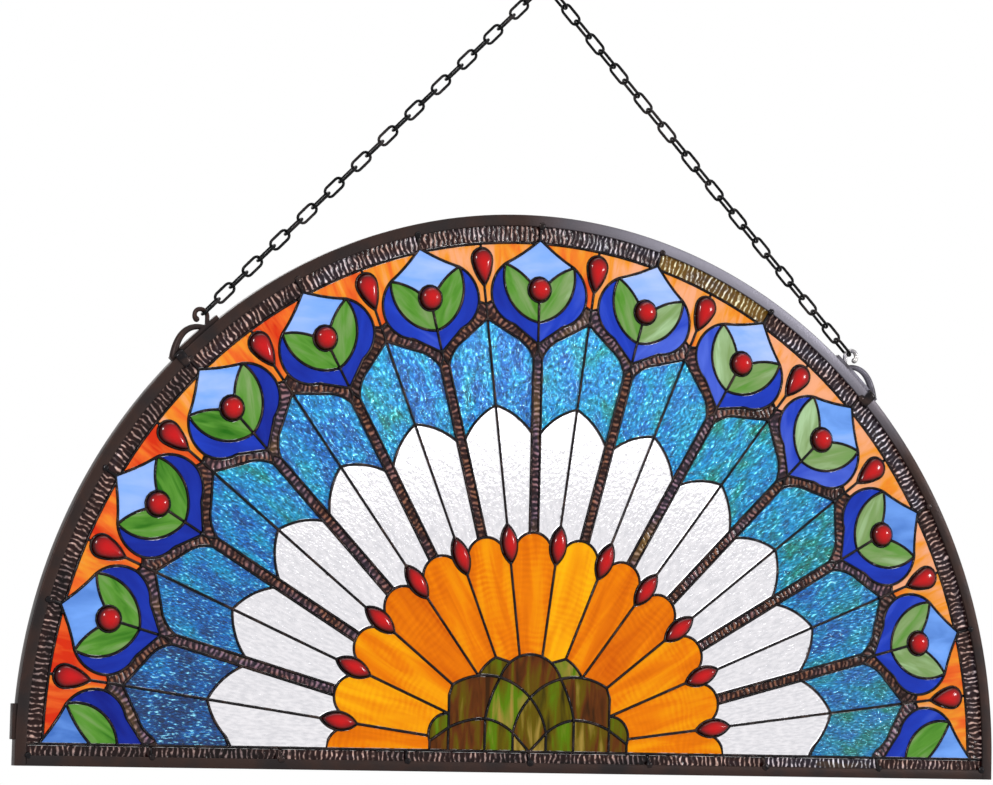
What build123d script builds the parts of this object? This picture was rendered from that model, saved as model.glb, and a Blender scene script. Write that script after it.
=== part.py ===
"""Half-round stained glass panel, a fan of feathers round a scaled heart, hung by two chains.

Millimetres, +Z up, the glass in the XZ plane and its front towards -Y. The origin is the centre of the
flat top face of the ceiling rosette.
"""
import os
from math import asin, cos, degrees, radians, sin, sqrt

from build123d import *

# Frame
outer_radius = 400.0
frame_face = 8.5
frame_depth = 12.5
frame_web = 1.5
sill_height = 15.5
sill_face = 7.5
corner_gap = 0.1

# Glass and solder
glass_thickness = 3.0
seam_width = 2.0
seam_thickness = 4.4
glass_fit = 0.1
slot_fit = 0.3

# Layout of the fan
gap_count = 12
border_width = 12.3
sill_pane_count = 8

# Eye of a feather, as depths below its tip and widths from its axis
tip_rise = 2.8
tip_half_width = 3.6
shoulder_depth = 19.5
shoulder_half_width = 28.5
shoulder_bow = 0.8
eye_side_depth = 48.0
eye_side_half_width = 38.4
eye_side_bow = 4.6
eye_heel_depth = 64.5
eye_heel_half_width = 20.0
eye_heel_bow = 3.2
eye_height = 78.5
leaf_base_depth = 62.0
leaf_back_bow = 11.2
leaf_front_bow = 1.6
half_leaf_base_depth = 58.5
half_sky_base_depth = 38.5
gem_centre_depth = 37.5
gem_ring_radius = 9.2
leaf_meets_gem = 55.0

# Gap between two eyes, as depths below the border
drop_top_depth = 3.3
drop_length = 28.1
drop_half_width = 8.3
drop_wide_depth = 11.8
drop_edge_bow = 1.6
drop_cap_bow = 2.5
junction_depth = 45.2

# Collar, rib and the panes between the ribs
collar_gap_width = 10.5
collar_knee_depth = 73.0
collar_knee_half_width = 20.0
collar_foot_depth = 89.0
collar_foot_bow = 2.4
collar_notch_depth = 82.5
rib_half_width = 3.5
wave_gap_radius = 258.5
wave_foot_radius = 237.0
wave_bow = 3.0

# Petals and navettes
petal_tip_radius = 163.0
navette_foot_radius = 140.4
navette_length = 29.5
navette_half_width = 6.5

# Heart of overlapping scales
scale_centre_x = 37.0
scale_centre_height = 5.0
scale_radius = 51.0
crown_height = 72.3
crown_radius = 26.6
crown_shoulder_x = 17.0
side_scale_x = 66.0
side_scale_height = 41.0
ear_peak_radius = 75.2
ear_bow = 1.5
lobe_x = 81.0
lobe_height = 7.0
lobe_bow = 7.0
crown_foot_x = 24.9
divider_bow = 1.4
row_x = 36.5
row_height = 24.0
row_side_height = 17.0
row_foot_x = 13.6
row_foot_height = 14.0
row_bow = 1.8

# Gems
gem_edge = 1.6
gem_dome = 4.2
gem_bevel = 2.4

# Brackets on the arch
bracket_seat = 0.1
bracket_angle = 133.1
bracket_span = 6.8
bracket_plate = 3.0
bracket_depth = 4.0
hook_angle = 131.14
hook_rise = 9.6
hook_radius = 5.4
hook_wire = 3.0
hook_sweep = 190.0
hook_ball_radius = 2.0
arm_wire = 3.8
arm_rise = 9.0
arm_start_angle = 131.5
arm_top_angle = 133.5
arm_end_angle = 136.1

# Chains
link_count = 25
link_length = 19.6
link_width = 9.8
link_wire = 2.3
link_corner = 2.0
link_gap = 0.3

# Ring, ceiling hook and rosette
ring_radius = 10.0
ring_wire = 3.0
hook_gap = 0.3
ceiling_wire = 4.0
ceiling_bowl = 9.0
ceiling_drop = 44.0
ceiling_shank = 14.0
ceiling_bend = 5.0
ceiling_tip = 5.0
rosette_radius = 16.0
rosette_thickness = 4.0

# Tab on the left side of the arch
tab_angle = 177.8
tab_span = 3.6
tab_thickness = 2.2
tab_depth = 6.0

# Places that follow from the sizes
gap_step = 180.0 / gap_count
half_step = gap_step / 2
face_radius = outer_radius - frame_face
slot_radius = outer_radius - frame_web
border_radius = face_radius - border_width
field_radius = slot_radius - slot_fit
field_bottom = -sill_height + frame_web + slot_fit
rim_radius = field_radius - seam_width / 2
rim_bottom = field_bottom + seam_width / 2
eye_tip_radius = border_radius + tip_rise
slot_width = seam_thickness + 2 * slot_fit
link_pitch = link_length - 2 * link_wire - link_gap


def polar(radius, angle):
    """Point of the fan by radius and angle."""
    return (radius * cos(radians(angle)), radius * sin(radians(angle)))


hook_centre = polar(outer_radius + hook_rise, hook_angle)
# An end link holds its hook or ring at this distance from the link's own middle.
seat_to_hook = link_length / 2 - link_wire - link_gap - hook_wire / 2
seat_to_ring = link_length / 2 - link_wire - link_gap - ring_wire / 2
chain_span = hook_radius + seat_to_hook + (link_count - 1) * link_pitch + seat_to_ring + ring_radius
ring_height = hook_centre[1] + sqrt(chain_span**2 - hook_centre[0] ** 2)
chain_angle = degrees(asin((ring_height - hook_centre[1]) / chain_span))
ring_drop = ceiling_drop - ceiling_wire / 2 - hook_gap - ring_wire / 2 + ring_radius
fan_drop = ring_drop + ring_height

panel_plane = Plane(origin=(0, 0, -fan_drop), x_dir=(1, 0, 0), z_dir=(0, -1, 0))
gap_mirror = Plane(origin=(0, 0, 0), x_dir=(0, 0, 1), z_dir=(-sin(radians(half_step)), cos(radians(half_step)), 0))


def eye(depth, half_width=0.0):
    """Point in a feather's own frame, X out along its axis, measured below the tip of its eye."""
    return (eye_tip_radius - depth, half_width)


def on_gem(angle):
    """Point on the seam round a gem, by its angle from the feather's axis."""
    return eye(gem_centre_depth - gem_ring_radius * cos(radians(angle)), gem_ring_radius * sin(radians(angle)))


def on_gap(radius, across=0.0):
    """Point in a feather's own frame, along and across the line midway to the next feather."""
    turn = radians(half_step)
    return (radius * cos(turn) - across * sin(turn), radius * sin(turn) + across * cos(turn))


def on_navette(share):
    """Point on a navette's inner side, by its share of the length."""
    arc_radius = (navette_length**2 / 4 + navette_half_width**2) / (2 * navette_half_width)
    along = (share - 0.5) * navette_length
    across = sqrt(arc_radius**2 - along**2) - arc_radius + navette_half_width
    return on_gap(navette_foot_radius + share * navette_length, -across)


# Points that neighbouring outlines share
tip = eye(0)
border_tip = (sqrt(border_radius**2 - tip_half_width**2), tip_half_width)
border_gap = on_gap(border_radius)
shoulder = eye(shoulder_depth, shoulder_half_width)
eye_side = eye(eye_side_depth, eye_side_half_width)
eye_heel = eye(eye_heel_depth, eye_heel_half_width)
eye_foot = eye(eye_height)
leaf_base = eye(leaf_base_depth)
half_leaf_base = eye(half_leaf_base_depth)
half_sky_base = eye(half_sky_base_depth)
gem_side = on_gem(leaf_meets_gem)
junction = on_gap(border_radius - junction_depth)
drop_tip = on_gap(border_radius - drop_top_depth - drop_length)
drop_side = on_gap(border_radius - drop_wide_depth, -drop_half_width)
drop_top = on_gap(border_radius - drop_top_depth)
collar_gap = on_gap(border_radius - junction_depth - collar_gap_width)
collar_knee = eye(collar_knee_depth, collar_knee_half_width)
collar_foot = eye(collar_foot_depth, rib_half_width)
collar_notch = eye(collar_notch_depth)
wave_gap = on_gap(wave_gap_radius)
wave_foot = (wave_foot_radius, rib_half_width)
navette_foot = on_navette(0.0)
navette_side = on_navette(0.5)
navette_top = on_navette(1.0)
petal_rise = petal_tip_radius - navette_side[0]
petal_radius = (navette_side[1] ** 2 + petal_rise**2) / (2 * petal_rise)


def on_petal(half_width):
    """Point on a petal's rounded top, by its distance from the axis."""
    return (petal_tip_radius - petal_radius + sqrt(petal_radius**2 - half_width**2), half_width)


rib_foot = on_petal(rib_half_width)


# Seam curves that neighbouring outlines share
def shoulder_curve():
    SagittaArc(border_tip, shoulder, shoulder_bow)


def side_curve():
    SagittaArc(shoulder, eye_side, -eye_side_bow)


def heel_curve():
    SagittaArc(eye_side, eye_heel, -eye_heel_bow)


def drop_curve():
    SagittaArc(drop_tip, drop_side, -drop_edge_bow)
    SagittaArc(drop_side, drop_top, -drop_cap_bow)


def collar_curve():
    SagittaArc(collar_knee, collar_foot, collar_foot_bow)


def wave_curve():
    SagittaArc(wave_gap, wave_foot, wave_bow)


def border_curve():
    ThreePointArc(border_tip, polar(border_radius, half_step / 2), border_gap)


# Eyes: the pale top piece, two leaves and two dark sides
with BuildSketch() as sky_pane:
    with BuildLine():
        Line(tip, border_tip)
        shoulder_curve()
        SagittaArc(shoulder, gem_side, leaf_front_bow)
        ThreePointArc(gem_side, on_gem(leaf_meets_gem / 2), on_gem(0))
        mirror(about=Plane.XZ)
    make_face()

with BuildSketch() as half_sky_pane:
    with BuildLine():
        Line(tip, border_tip)
        shoulder_curve()
        SagittaArc(shoulder, half_sky_base, leaf_front_bow)
        Line(half_sky_base, tip)
    make_face()

with BuildSketch() as leaf_pane:
    with BuildLine():
        SagittaArc(shoulder, gem_side, leaf_front_bow)
        ThreePointArc(gem_side, on_gem(leaf_meets_gem / 2 + 90), on_gem(180))
        Line(on_gem(180), leaf_base)
        SagittaArc(shoulder, leaf_base, -leaf_back_bow)
    make_face()

with BuildSketch() as half_leaf_pane:
    with BuildLine():
        SagittaArc(shoulder, half_sky_base, leaf_front_bow)
        Line(half_sky_base, half_leaf_base)
        SagittaArc(shoulder, half_leaf_base, -leaf_back_bow)
    make_face()

with BuildSketch() as cobalt_pane:
    with BuildLine():
        side_curve()
        heel_curve()
        Polyline(eye_heel, eye_foot, leaf_base)
        SagittaArc(shoulder, leaf_base, -leaf_back_bow)
    make_face()

with BuildSketch() as half_cobalt_pane:
    with BuildLine():
        side_curve()
        heel_curve()
        Polyline(eye_heel, eye_foot, half_leaf_base)
        SagittaArc(shoulder, half_leaf_base, -leaf_back_bow)
    make_face()

with BuildSketch() as gem_pane:
    with Locations(eye(gem_centre_depth)):
        Circle(gem_ring_radius)

# Between the eyes and the border
with BuildSketch() as spandrel_pane:
    with BuildLine():
        shoulder_curve()
        side_curve()
        Polyline(eye_side, junction, drop_tip)
        drop_curve()
        Line(drop_top, border_gap)
        border_curve()
    make_face()

with BuildSketch() as border_pane:
    with BuildLine():
        ThreePointArc(on_gap(rim_radius), polar(rim_radius, half_step / 2), (rim_radius, 0))
        Polyline((rim_radius, 0), tip, border_tip)
        border_curve()
        mirror(about=gap_mirror)
    make_face()

with BuildSketch() as drop_pane:
    with BuildLine():
        drop_curve()
        mirror(about=gap_mirror)
    make_face()

# Below the eyes
with BuildSketch() as collar_pane:
    with BuildLine():
        heel_curve()
        Polyline(eye_side, junction, collar_gap, collar_knee)
        collar_curve()
        Polyline(collar_foot, collar_notch, eye_foot, eye_heel)
    make_face()

with BuildSketch() as rib_pane:
    with BuildLine():
        Polyline(collar_notch, collar_foot, rib_foot)
        ThreePointArc(rib_foot, on_petal(rib_half_width / 2), on_petal(0))
        mirror(about=Plane.XZ)
    make_face()

with BuildSketch() as wave_pane:
    with BuildLine():
        Polyline(wave_gap, collar_gap, collar_knee)
        collar_curve()
        Line(collar_foot, wave_foot)
        wave_curve()
    make_face()

with BuildSketch() as clear_pane:
    with BuildLine():
        wave_curve()
        Line(wave_foot, rib_foot)
        ThreePointArc(rib_foot, on_petal(navette_side[1] * 0.7), navette_side)
        ThreePointArc(navette_side, on_navette(0.75), navette_top)
        Line(navette_top, wave_gap)
    make_face()

with BuildSketch() as navette_pane:
    with BuildLine():
        ThreePointArc(navette_foot, navette_side, navette_top)
        mirror(about=gap_mirror)
    make_face()

with BuildSketch() as petal_wedge:
    with BuildLine():
        Line((0, 0), navette_foot)
        ThreePointArc(navette_foot, on_navette(0.25), navette_side)
        ThreePointArc(navette_side, on_petal(navette_side[1] / 2), on_petal(0))
        mirror(about=Plane.XZ)
    make_face()


# Heart: points of its left half
def on_scale(angle):
    """Point of the left large scale's arc in a direction from the fan's centre."""
    reach = scale_centre_height * sin(radians(angle)) - scale_centre_x * cos(radians(angle))
    spare = scale_radius**2 - scale_centre_x**2 - scale_centre_height**2
    return polar(reach + sqrt(reach**2 + spare), angle)


def scale_height(x):
    """Height of the left large scale's arc at a place across the panel."""
    return scale_centre_height + sqrt(scale_radius**2 - (x + scale_centre_x) ** 2)


lobe_turn = radians(1.5 * gap_step)
crown_top = (0, crown_height)
crown_shoulder = (
    -crown_shoulder_x,
    crown_height - crown_radius + sqrt(crown_radius**2 - crown_shoulder_x**2),
)
crown_foot = (-crown_foot_x, scale_height(-crown_foot_x))
crossing = (0, scale_height(0))
ear_peak = polar(ear_peak_radius, 90 + 1.5 * gap_step)
ear_foot = on_scale(90 + 2.5 * gap_step)
cheek_top = on_scale(90 + 3.5 * gap_step)
cheek_side = (-side_scale_x, side_scale_height)
lobe_top = (-side_scale_x, side_scale_x * sin(lobe_turn) / cos(lobe_turn))
lobe_side = (-lobe_x, lobe_height)
row_side = (-side_scale_x, row_side_height)
row_middle = (-row_x, row_height)
row_foot = (-row_foot_x, row_foot_height)


def crown_curve():
    RadiusArc(crown_foot, crown_shoulder, crown_radius)


def crown_top_curve():
    RadiusArc(crown_shoulder, crown_top, crown_radius)


def scale_top_curve():
    RadiusArc(crown_foot, crossing, scale_radius)


def keel_curve():
    RadiusArc(row_foot, crossing, scale_radius)


def divider_curve():
    SagittaArc(crown_foot, row_middle, -divider_bow)


def row_side_curve():
    SagittaArc(row_side, row_middle, row_bow)


def row_foot_curve():
    SagittaArc(row_middle, row_foot, row_bow)


def lobe_curve():
    SagittaArc(lobe_top, lobe_side, -lobe_bow)


def ear_curve():
    SagittaArc(ear_foot, ear_peak, ear_bow)
    Line(ear_peak, crown_shoulder)


with BuildSketch() as heart_outline:
    with BuildLine():
        Polyline((0, 0), (-lobe_x, 0), lobe_side)
        lobe_curve()
        Polyline(lobe_top, cheek_side, cheek_top)
        RadiusArc(cheek_top, ear_foot, scale_radius)
        ear_curve()
        crown_top_curve()
        mirror(about=Plane.YZ)
    make_face()

with BuildSketch() as crown_pane:
    with BuildLine():
        crown_curve()
        crown_top_curve()
        scale_top_curve()
        mirror(about=Plane.YZ)
    make_face()

with BuildSketch() as keel_pane:
    with BuildLine():
        keel_curve()
        Line(row_foot, (0, 0))
        mirror(about=Plane.YZ)
    make_face()

with BuildSketch() as ear_pane:
    with BuildLine():
        RadiusArc(ear_foot, crown_foot, scale_radius)
        crown_curve()
        ear_curve()
    make_face()

with BuildSketch() as cheek_pane:
    with BuildLine():
        Polyline(row_side, lobe_top, cheek_side, cheek_top)
        RadiusArc(cheek_top, ear_foot, scale_radius)
        RadiusArc(ear_foot, crown_foot, scale_radius)
        divider_curve()
        row_side_curve()
    make_face()

with BuildSketch() as breast_pane:
    with BuildLine():
        scale_top_curve()
        keel_curve()
        row_foot_curve()
        divider_curve()
    make_face()

with BuildSketch() as outer_seat_pane:
    with BuildLine():
        row_side_curve()
        Polyline(row_middle, (-row_x, 0), (-side_scale_x, 0), row_side)
    make_face()

with BuildSketch() as inner_seat_pane:
    with BuildLine():
        row_foot_curve()
        Polyline(row_foot, (-row_foot_x, 0), (-row_x, 0), row_middle)
    make_face()

with BuildSketch() as corner_pane:
    with BuildLine():
        Polyline(row_foot, (0, 0), (-row_foot_x, 0), close=True)
    make_face()

with BuildSketch() as lobe_pane:
    with BuildLine():
        lobe_curve()
        Polyline(lobe_side, row_side, lobe_top)
    make_face()

with BuildSketch() as lobe_seat_pane:
    with BuildLine():
        Polyline(row_side, lobe_side, (-lobe_x, 0), (-side_scale_x, 0), close=True)
    make_face()

with BuildSketch() as above_sill:
    with Locations((0, outer_radius / 2)):
        Rectangle(2 * outer_radius, outer_radius)


def half_round(radius, foot):
    """Half disc of the fan with straight legs down to a foot height."""
    with BuildSketch() as field:
        with BuildLine():
            CenterArc((0, 0), radius, 0, 180)
            Polyline((-radius, 0), (-radius, foot), (radius, foot), (radius, 0))
        make_face()
    return field.sketch


def inset(pane, gap):
    """A pane's outline drawn in from the seams' middle lines, by half a seam and a gap."""
    with BuildSketch() as drawn:
        add(pane)
        offset(amount=-seam_width / 2 - gap, kind=Kind.INTERSECTION)
    return drawn.sketch


def petal(feather):
    """Outline of one petal, which starts at the heart and stays above the sill."""
    with BuildSketch() as pane:
        with PolarLocations(0, 1, start_angle=feather * gap_step):
            add(petal_wedge.sketch)
        add(heart_outline.sketch, mode=Mode.SUBTRACT)
        add(above_sill.sketch, mode=Mode.INTERSECT)
    return pane.sketch


def fan(pane, first, count):
    """Copies of a pane at successive feathers, counted from the one that lies along +X."""
    with PolarLocations(0, count, start_angle=first * gap_step, angular_range=count * gap_step):
        add(pane)


def across_gaps(pane, gap):
    """One copy in each gap between two feathers."""
    with BuildSketch() as panes:
        fan(inset(pane, gap), 0, gap_count)
    return panes.sketch


def on_feathers(pane, gap):
    """One copy on each whole feather."""
    with BuildSketch() as panes:
        fan(inset(pane, gap), 1, gap_count - 1)
    return panes.sketch


def beside_feathers(pane, gap, first=0):
    """Two mirrored copies beside each feather, above the sill."""
    left = inset(pane, gap)
    right = mirror(left, about=Plane.XZ, mode=Mode.PRIVATE)
    with BuildSketch() as panes:
        fan(left, first, gap_count - first)
        fan(right, 1, gap_count - first)
    return panes.sketch


def beside_middle(pane, gap):
    """Two mirrored copies, left and right of the panel's middle line."""
    with BuildSketch() as panes:
        add(inset(pane, gap))
        mirror(about=Plane.YZ)
    return panes.sketch


# Panes by kind of glass, each drawn in by the seams and a gap
def sky_panes(gap):
    return on_feathers(sky_pane.sketch, gap) + beside_middle(half_sky_pane.sketch, gap)


def leaf_panes(gap):
    return beside_feathers(leaf_pane.sketch, gap, 1) + beside_middle(half_leaf_pane.sketch, gap)


def cobalt_panes(gap):
    return beside_feathers(cobalt_pane.sketch, gap, 1) + beside_middle(half_cobalt_pane.sketch, gap)


def petal_panes(gap):
    with BuildSketch() as panes:
        for feather in range(gap_count + 1):
            add(inset(petal(feather), gap))
    return panes.sketch


def heart_green_panes(gap):
    with BuildSketch() as panes:
        for pane in (ear_pane, breast_pane, inner_seat_pane, lobe_pane):
            add(beside_middle(pane.sketch, gap))
    return panes.sketch


def heart_brown_panes(gap):
    with BuildSketch() as panes:
        add(inset(crown_pane.sketch, gap))
        add(inset(keel_pane.sketch, gap))
        for pane in (cheek_pane, outer_seat_pane, corner_pane, lobe_seat_pane):
            add(beside_middle(pane.sketch, gap))
    return panes.sketch


def sill_panes(gap):
    pitch = 2 * rim_radius / sill_pane_count
    with BuildSketch() as panes:
        for number in range(sill_pane_count):
            with Locations(((number + 0.5) * pitch - rim_radius, rim_bottom / 2)):
                Rectangle(pitch - seam_width - 2 * gap, -rim_bottom - seam_width - 2 * gap)
    return panes.sketch


def side_panes(pane):
    """Panes of one outline beside every feather, as a function of the gap."""
    return lambda gap: beside_feathers(pane.sketch, gap)


def gap_panes(pane):
    """Panes of one outline in every gap, as a function of the gap round the glass."""
    return lambda gap: across_gaps(pane.sketch, gap)


pane_kinds = {
    "sky_glass": sky_panes,
    "leaf_glass": leaf_panes,
    "cobalt_glass": cobalt_panes,
    "spandrel_glass": side_panes(spandrel_pane),
    "border_glass": gap_panes(border_pane),
    "sill_glass": sill_panes,
    "collar_glass": side_panes(collar_pane),
    "rib_glass": lambda gap: on_feathers(rib_pane.sketch, gap),
    "wave_glass": side_panes(wave_pane),
    "clear_glass": side_panes(clear_pane),
    "petal_glass": petal_panes,
    "heart_green_glass": heart_green_panes,
    "heart_brown_glass": heart_brown_panes,
}
gem_rings = (
    lambda: on_feathers(gem_pane.sketch, 0),
    lambda: across_gaps(drop_pane.sketch, 0),
    lambda: across_gaps(navette_pane.sketch, 0),
)

os.makedirs("parts", exist_ok=True)


def write(piece, name):
    """Label a finished piece and write its file."""
    piece.part.label = name
    export_step(piece.part, f"parts/{name}.step")


# Glass
for kind, panes in pane_kinds.items():
    with BuildPart() as glass:
        with BuildSketch(panel_plane):
            add(panes(glass_fit))
        extrude(amount=glass_thickness / 2, both=True)
    write(glass, kind)

# Seams: the whole field less every pane and gem
with BuildPart() as seam_lattice:
    with BuildSketch(panel_plane):
        add(half_round(field_radius, field_bottom))
        for panes in pane_kinds.values():
            add(panes(0), mode=Mode.SUBTRACT)
        for rings in gem_rings:
            add(rings(), mode=Mode.SUBTRACT)
    extrude(amount=seam_thickness / 2, both=True)
write(seam_lattice, "seam_lattice")


# Gems: flat behind, standing out in front
gem_radius = gem_ring_radius - seam_width / 2 - glass_fit
gem_front = glass_thickness / 2 + gem_edge
with BuildPart() as round_gem:
    with BuildSketch(Plane.XZ):
        with BuildLine():
            Polyline((0, gem_front + gem_dome), (0, -glass_thickness / 2), (gem_radius, -glass_thickness / 2))
            Line((gem_radius, -glass_thickness / 2), (gem_radius, gem_front))
            RadiusArc(
                (0, gem_front + gem_dome),
                (gem_radius, gem_front),
                (gem_radius**2 + gem_dome**2) / (2 * gem_dome),
            )
        make_face()
    revolve(axis=Axis.Z)

with BuildPart(panel_plane) as round_gems:
    radius = eye(gem_centre_depth)[0]
    with PolarLocations(radius, gap_count - 1, start_angle=gap_step, angular_range=180 - gap_step):
        add(round_gem.part)
write(round_gems, "round_gems")


def bevelled_gem(pane):
    """A gem of a pane's outline, with a bevel round its front."""
    with BuildPart() as gem:
        with BuildSketch(Plane.XY.offset(-glass_thickness / 2)):
            add(inset(pane.sketch, glass_fit))
        extrude(amount=glass_thickness + gem_edge + gem_bevel)
        chamfer(gem.faces().sort_by(Axis.Z)[-1].edges(), gem_bevel)
    return gem.part


for pane, name in ((drop_pane, "teardrop_gems"), (navette_pane, "navette_gems")):
    single_gem = bevelled_gem(pane)
    with BuildPart(panel_plane) as gems:
        with PolarLocations(0, gap_count, start_angle=0, angular_range=180):
            add(single_gem)
    write(gems, name)


# Frame
with BuildPart() as frame_arch:
    with BuildSketch(panel_plane):
        add(half_round(outer_radius, -sill_height))
        add(half_round(face_radius, -sill_height), mode=Mode.SUBTRACT)
    extrude(amount=frame_depth / 2, both=True)
    with BuildSketch(panel_plane):
        add(half_round(slot_radius, -sill_height))
    extrude(amount=slot_width / 2, both=True, mode=Mode.SUBTRACT)
write(frame_arch, "frame_arch")

with BuildPart() as frame_sill:
    sill_length = 2 * (face_radius - corner_gap)
    with BuildSketch(panel_plane):
        with Locations((0, -sill_height)):
            Rectangle(sill_length, sill_face, align=(Align.CENTER, Align.MIN))
    extrude(amount=frame_depth / 2, both=True)
    with BuildSketch(panel_plane):
        with Locations((0, -sill_height + frame_web)):
            Rectangle(sill_length, sill_face, align=(Align.CENTER, Align.MIN))
    extrude(amount=slot_width / 2, both=True, mode=Mode.SUBTRACT)
write(frame_sill, "frame_sill")


def curved_strip(inner, outer, angle, span):
    """Flat piece bent along the arch, about a middle angle."""
    start = angle - span / 2
    with BuildSketch() as strip:
        with BuildLine():
            CenterArc((0, 0), outer, start, span)
            CenterArc((0, 0), inner, start, span)
            Line(polar(inner, start), polar(outer, start))
            Line(polar(inner, start + span), polar(outer, start + span))
        make_face()
    return strip.sketch


# Brackets: a plate on the arch, a curled hook and a bowed arm
seat_radius = outer_radius + bracket_seat
plate_middle = seat_radius + bracket_plate / 2
with BuildPart() as bracket_left:
    with BuildSketch(panel_plane):
        add(curved_strip(seat_radius, seat_radius + bracket_plate, bracket_angle, bracket_span))
        stem_x = hook_centre[0] + hook_radius
        with BuildLine() as hook_line:
            Line((stem_x, sqrt(plate_middle**2 - stem_x**2)), (stem_x, hook_centre[1]))
            hook_curl = CenterArc(hook_centre, hook_radius, 0, hook_sweep)
        trace(hook_line.line, hook_wire)
        with Locations(hook_curl @ 1):
            Circle(hook_ball_radius)
        with BuildLine() as arm_line:
            ThreePointArc(
                polar(plate_middle, arm_start_angle),
                polar(outer_radius + arm_rise, arm_top_angle),
                polar(plate_middle, arm_end_angle),
            )
        trace(arm_line.line, arm_wire)
    extrude(amount=bracket_depth / 2, both=True)
write(bracket_left, "bracket_left")

with BuildPart() as bracket_right:
    mirror(bracket_left.part, about=Plane.YZ)
write(bracket_right, "bracket_right")

# Chains: links turned by a quarter in turn, from the hook's curl up to the ring
with BuildPart() as link:
    with BuildSketch():
        half_length = link_length / 2
        with BuildLine():
            Polyline(
                (half_length - link_corner, link_width / 2),
                (link_corner - half_length, link_width / 2),
                (-half_length, link_width / 2 - link_corner),
                (-half_length, link_corner - link_width / 2),
                (link_corner - half_length, -link_width / 2),
                (half_length - link_corner, -link_width / 2),
                (half_length, link_corner - link_width / 2),
                (half_length, link_width / 2 - link_corner),
                close=True,
            )
        make_face()
        offset(amount=-link_wire, kind=Kind.INTERSECTION, mode=Mode.SUBTRACT)
    extrude(amount=link_wire / 2, both=True)

chain_plane = Plane(
    origin=panel_plane.from_local_coords(hook_centre),
    x_dir=(cos(radians(chain_angle)), 0, sin(radians(chain_angle))),
    z_dir=(0, -1, 0),
)
first_link = hook_radius + seat_to_hook
with BuildPart(chain_plane) as chain_left:
    for number in range(link_count):
        turn = 90 if number % 2 == 0 else 0
        with Locations(Location((first_link + number * link_pitch, 0, 0), (turn, 0, 0))):
            add(link.part)
write(chain_left, "chain_left")

with BuildPart() as chain_right:
    mirror(chain_left.part, about=Plane.YZ)
write(chain_right, "chain_right")

# Ring at the meeting of the chains
ring_plane = Plane(origin=(0, 0, -ring_drop), x_dir=(1, 0, 0), z_dir=(0, 0, 1))
with BuildPart() as hanging_ring:
    with BuildSketch(ring_plane):
        with Locations((ring_radius, 0)):
            RegularPolygon(ring_wire / 2, 8)
    revolve(axis=Axis(ring_plane.origin, (0, 1, 0)))
write(hanging_ring, "hanging_ring")

# Ceiling hook under its rosette
with BuildPart() as ceiling_hook:
    with BuildSketch(Plane.XY.offset(-rosette_thickness)):
        Circle(rosette_radius)
    extrude(amount=rosette_thickness)
    chamfer(ceiling_hook.edges().group_by(Axis.Z)[0], rosette_thickness / 4)
    bowl_height = ceiling_bowl - ceiling_drop
    with BuildLine(Plane.YZ) as hook_path:
        FilletPolyline(
            (0, -rosette_thickness / 2),
            (0, -ceiling_shank),
            (ceiling_bowl, -ceiling_shank - ceiling_bowl),
            (ceiling_bowl, bowl_height),
            radius=ceiling_bend,
        )
        CenterArc((0, bowl_height), ceiling_bowl, 0, -180)
        Line((-ceiling_bowl, bowl_height), (-ceiling_bowl, bowl_height + ceiling_tip))
    with BuildSketch(Plane(origin=(0, 0, -rosette_thickness / 2), z_dir=(0, 0, -1))):
        RegularPolygon(ceiling_wire / 2, 8)
    sweep(path=hook_path.line)
write(ceiling_hook, "ceiling_hook")

# Tab on the left side of the arch
with BuildPart() as side_tab:
    with BuildSketch(panel_plane):
        add(curved_strip(seat_radius, seat_radius + tab_thickness, tab_angle, tab_span))
    extrude(amount=tab_depth / 2, both=True)
write(side_tab, "side_tab")
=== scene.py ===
"""Finish and detail of a half-round stained glass fan panel that hangs by two chains.

Metres, in the part's own frame: +X to the right, +Z up, the front of the glass towards -Y. Outlines of the
panes, seams, gems and links are read from the frame, so that every piece lies where the part has it.
"""
from collections import namedtuple
from math import atan2, ceil, cos, degrees, pi, radians, sin, tau

import bmesh
import bpy
import numpy as np
from bpy.props import FloatProperty, FloatVectorProperty, IntProperty, PointerProperty
from mathutils import Euler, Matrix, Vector, noise
from mathutils.geometry import delaunay_2d_cdt
from mathutils.kdtree import KDTree


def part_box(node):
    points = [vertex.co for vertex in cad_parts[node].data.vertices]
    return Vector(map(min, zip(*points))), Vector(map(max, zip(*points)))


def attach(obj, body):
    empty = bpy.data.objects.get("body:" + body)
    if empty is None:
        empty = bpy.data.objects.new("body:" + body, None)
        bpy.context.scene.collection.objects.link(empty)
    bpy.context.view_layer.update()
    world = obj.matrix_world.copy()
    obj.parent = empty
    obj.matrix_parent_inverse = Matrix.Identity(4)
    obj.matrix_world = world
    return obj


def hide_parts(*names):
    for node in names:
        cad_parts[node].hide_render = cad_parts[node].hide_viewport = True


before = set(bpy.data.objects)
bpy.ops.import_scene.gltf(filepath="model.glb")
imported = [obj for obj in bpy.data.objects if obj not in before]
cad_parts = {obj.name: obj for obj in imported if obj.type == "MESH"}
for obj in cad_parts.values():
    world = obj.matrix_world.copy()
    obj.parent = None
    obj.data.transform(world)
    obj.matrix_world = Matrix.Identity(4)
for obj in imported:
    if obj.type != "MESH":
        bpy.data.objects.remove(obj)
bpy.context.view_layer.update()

bl_info = {
    "name": "Stained Glass Fan Panel",
    "version": (1, 0, 0),
    "blender": (4, 5, 0),
    "location": "3D View > Sidebar > Fan Panel",
    "description": "Glass, solder, gems, frame and chains of a half-round fan panel",
    "category": "Object",
}

BODY = "root"
MM = 0.001
WHITE = (1.0, 1.0, 1.0, 1.0)

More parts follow.
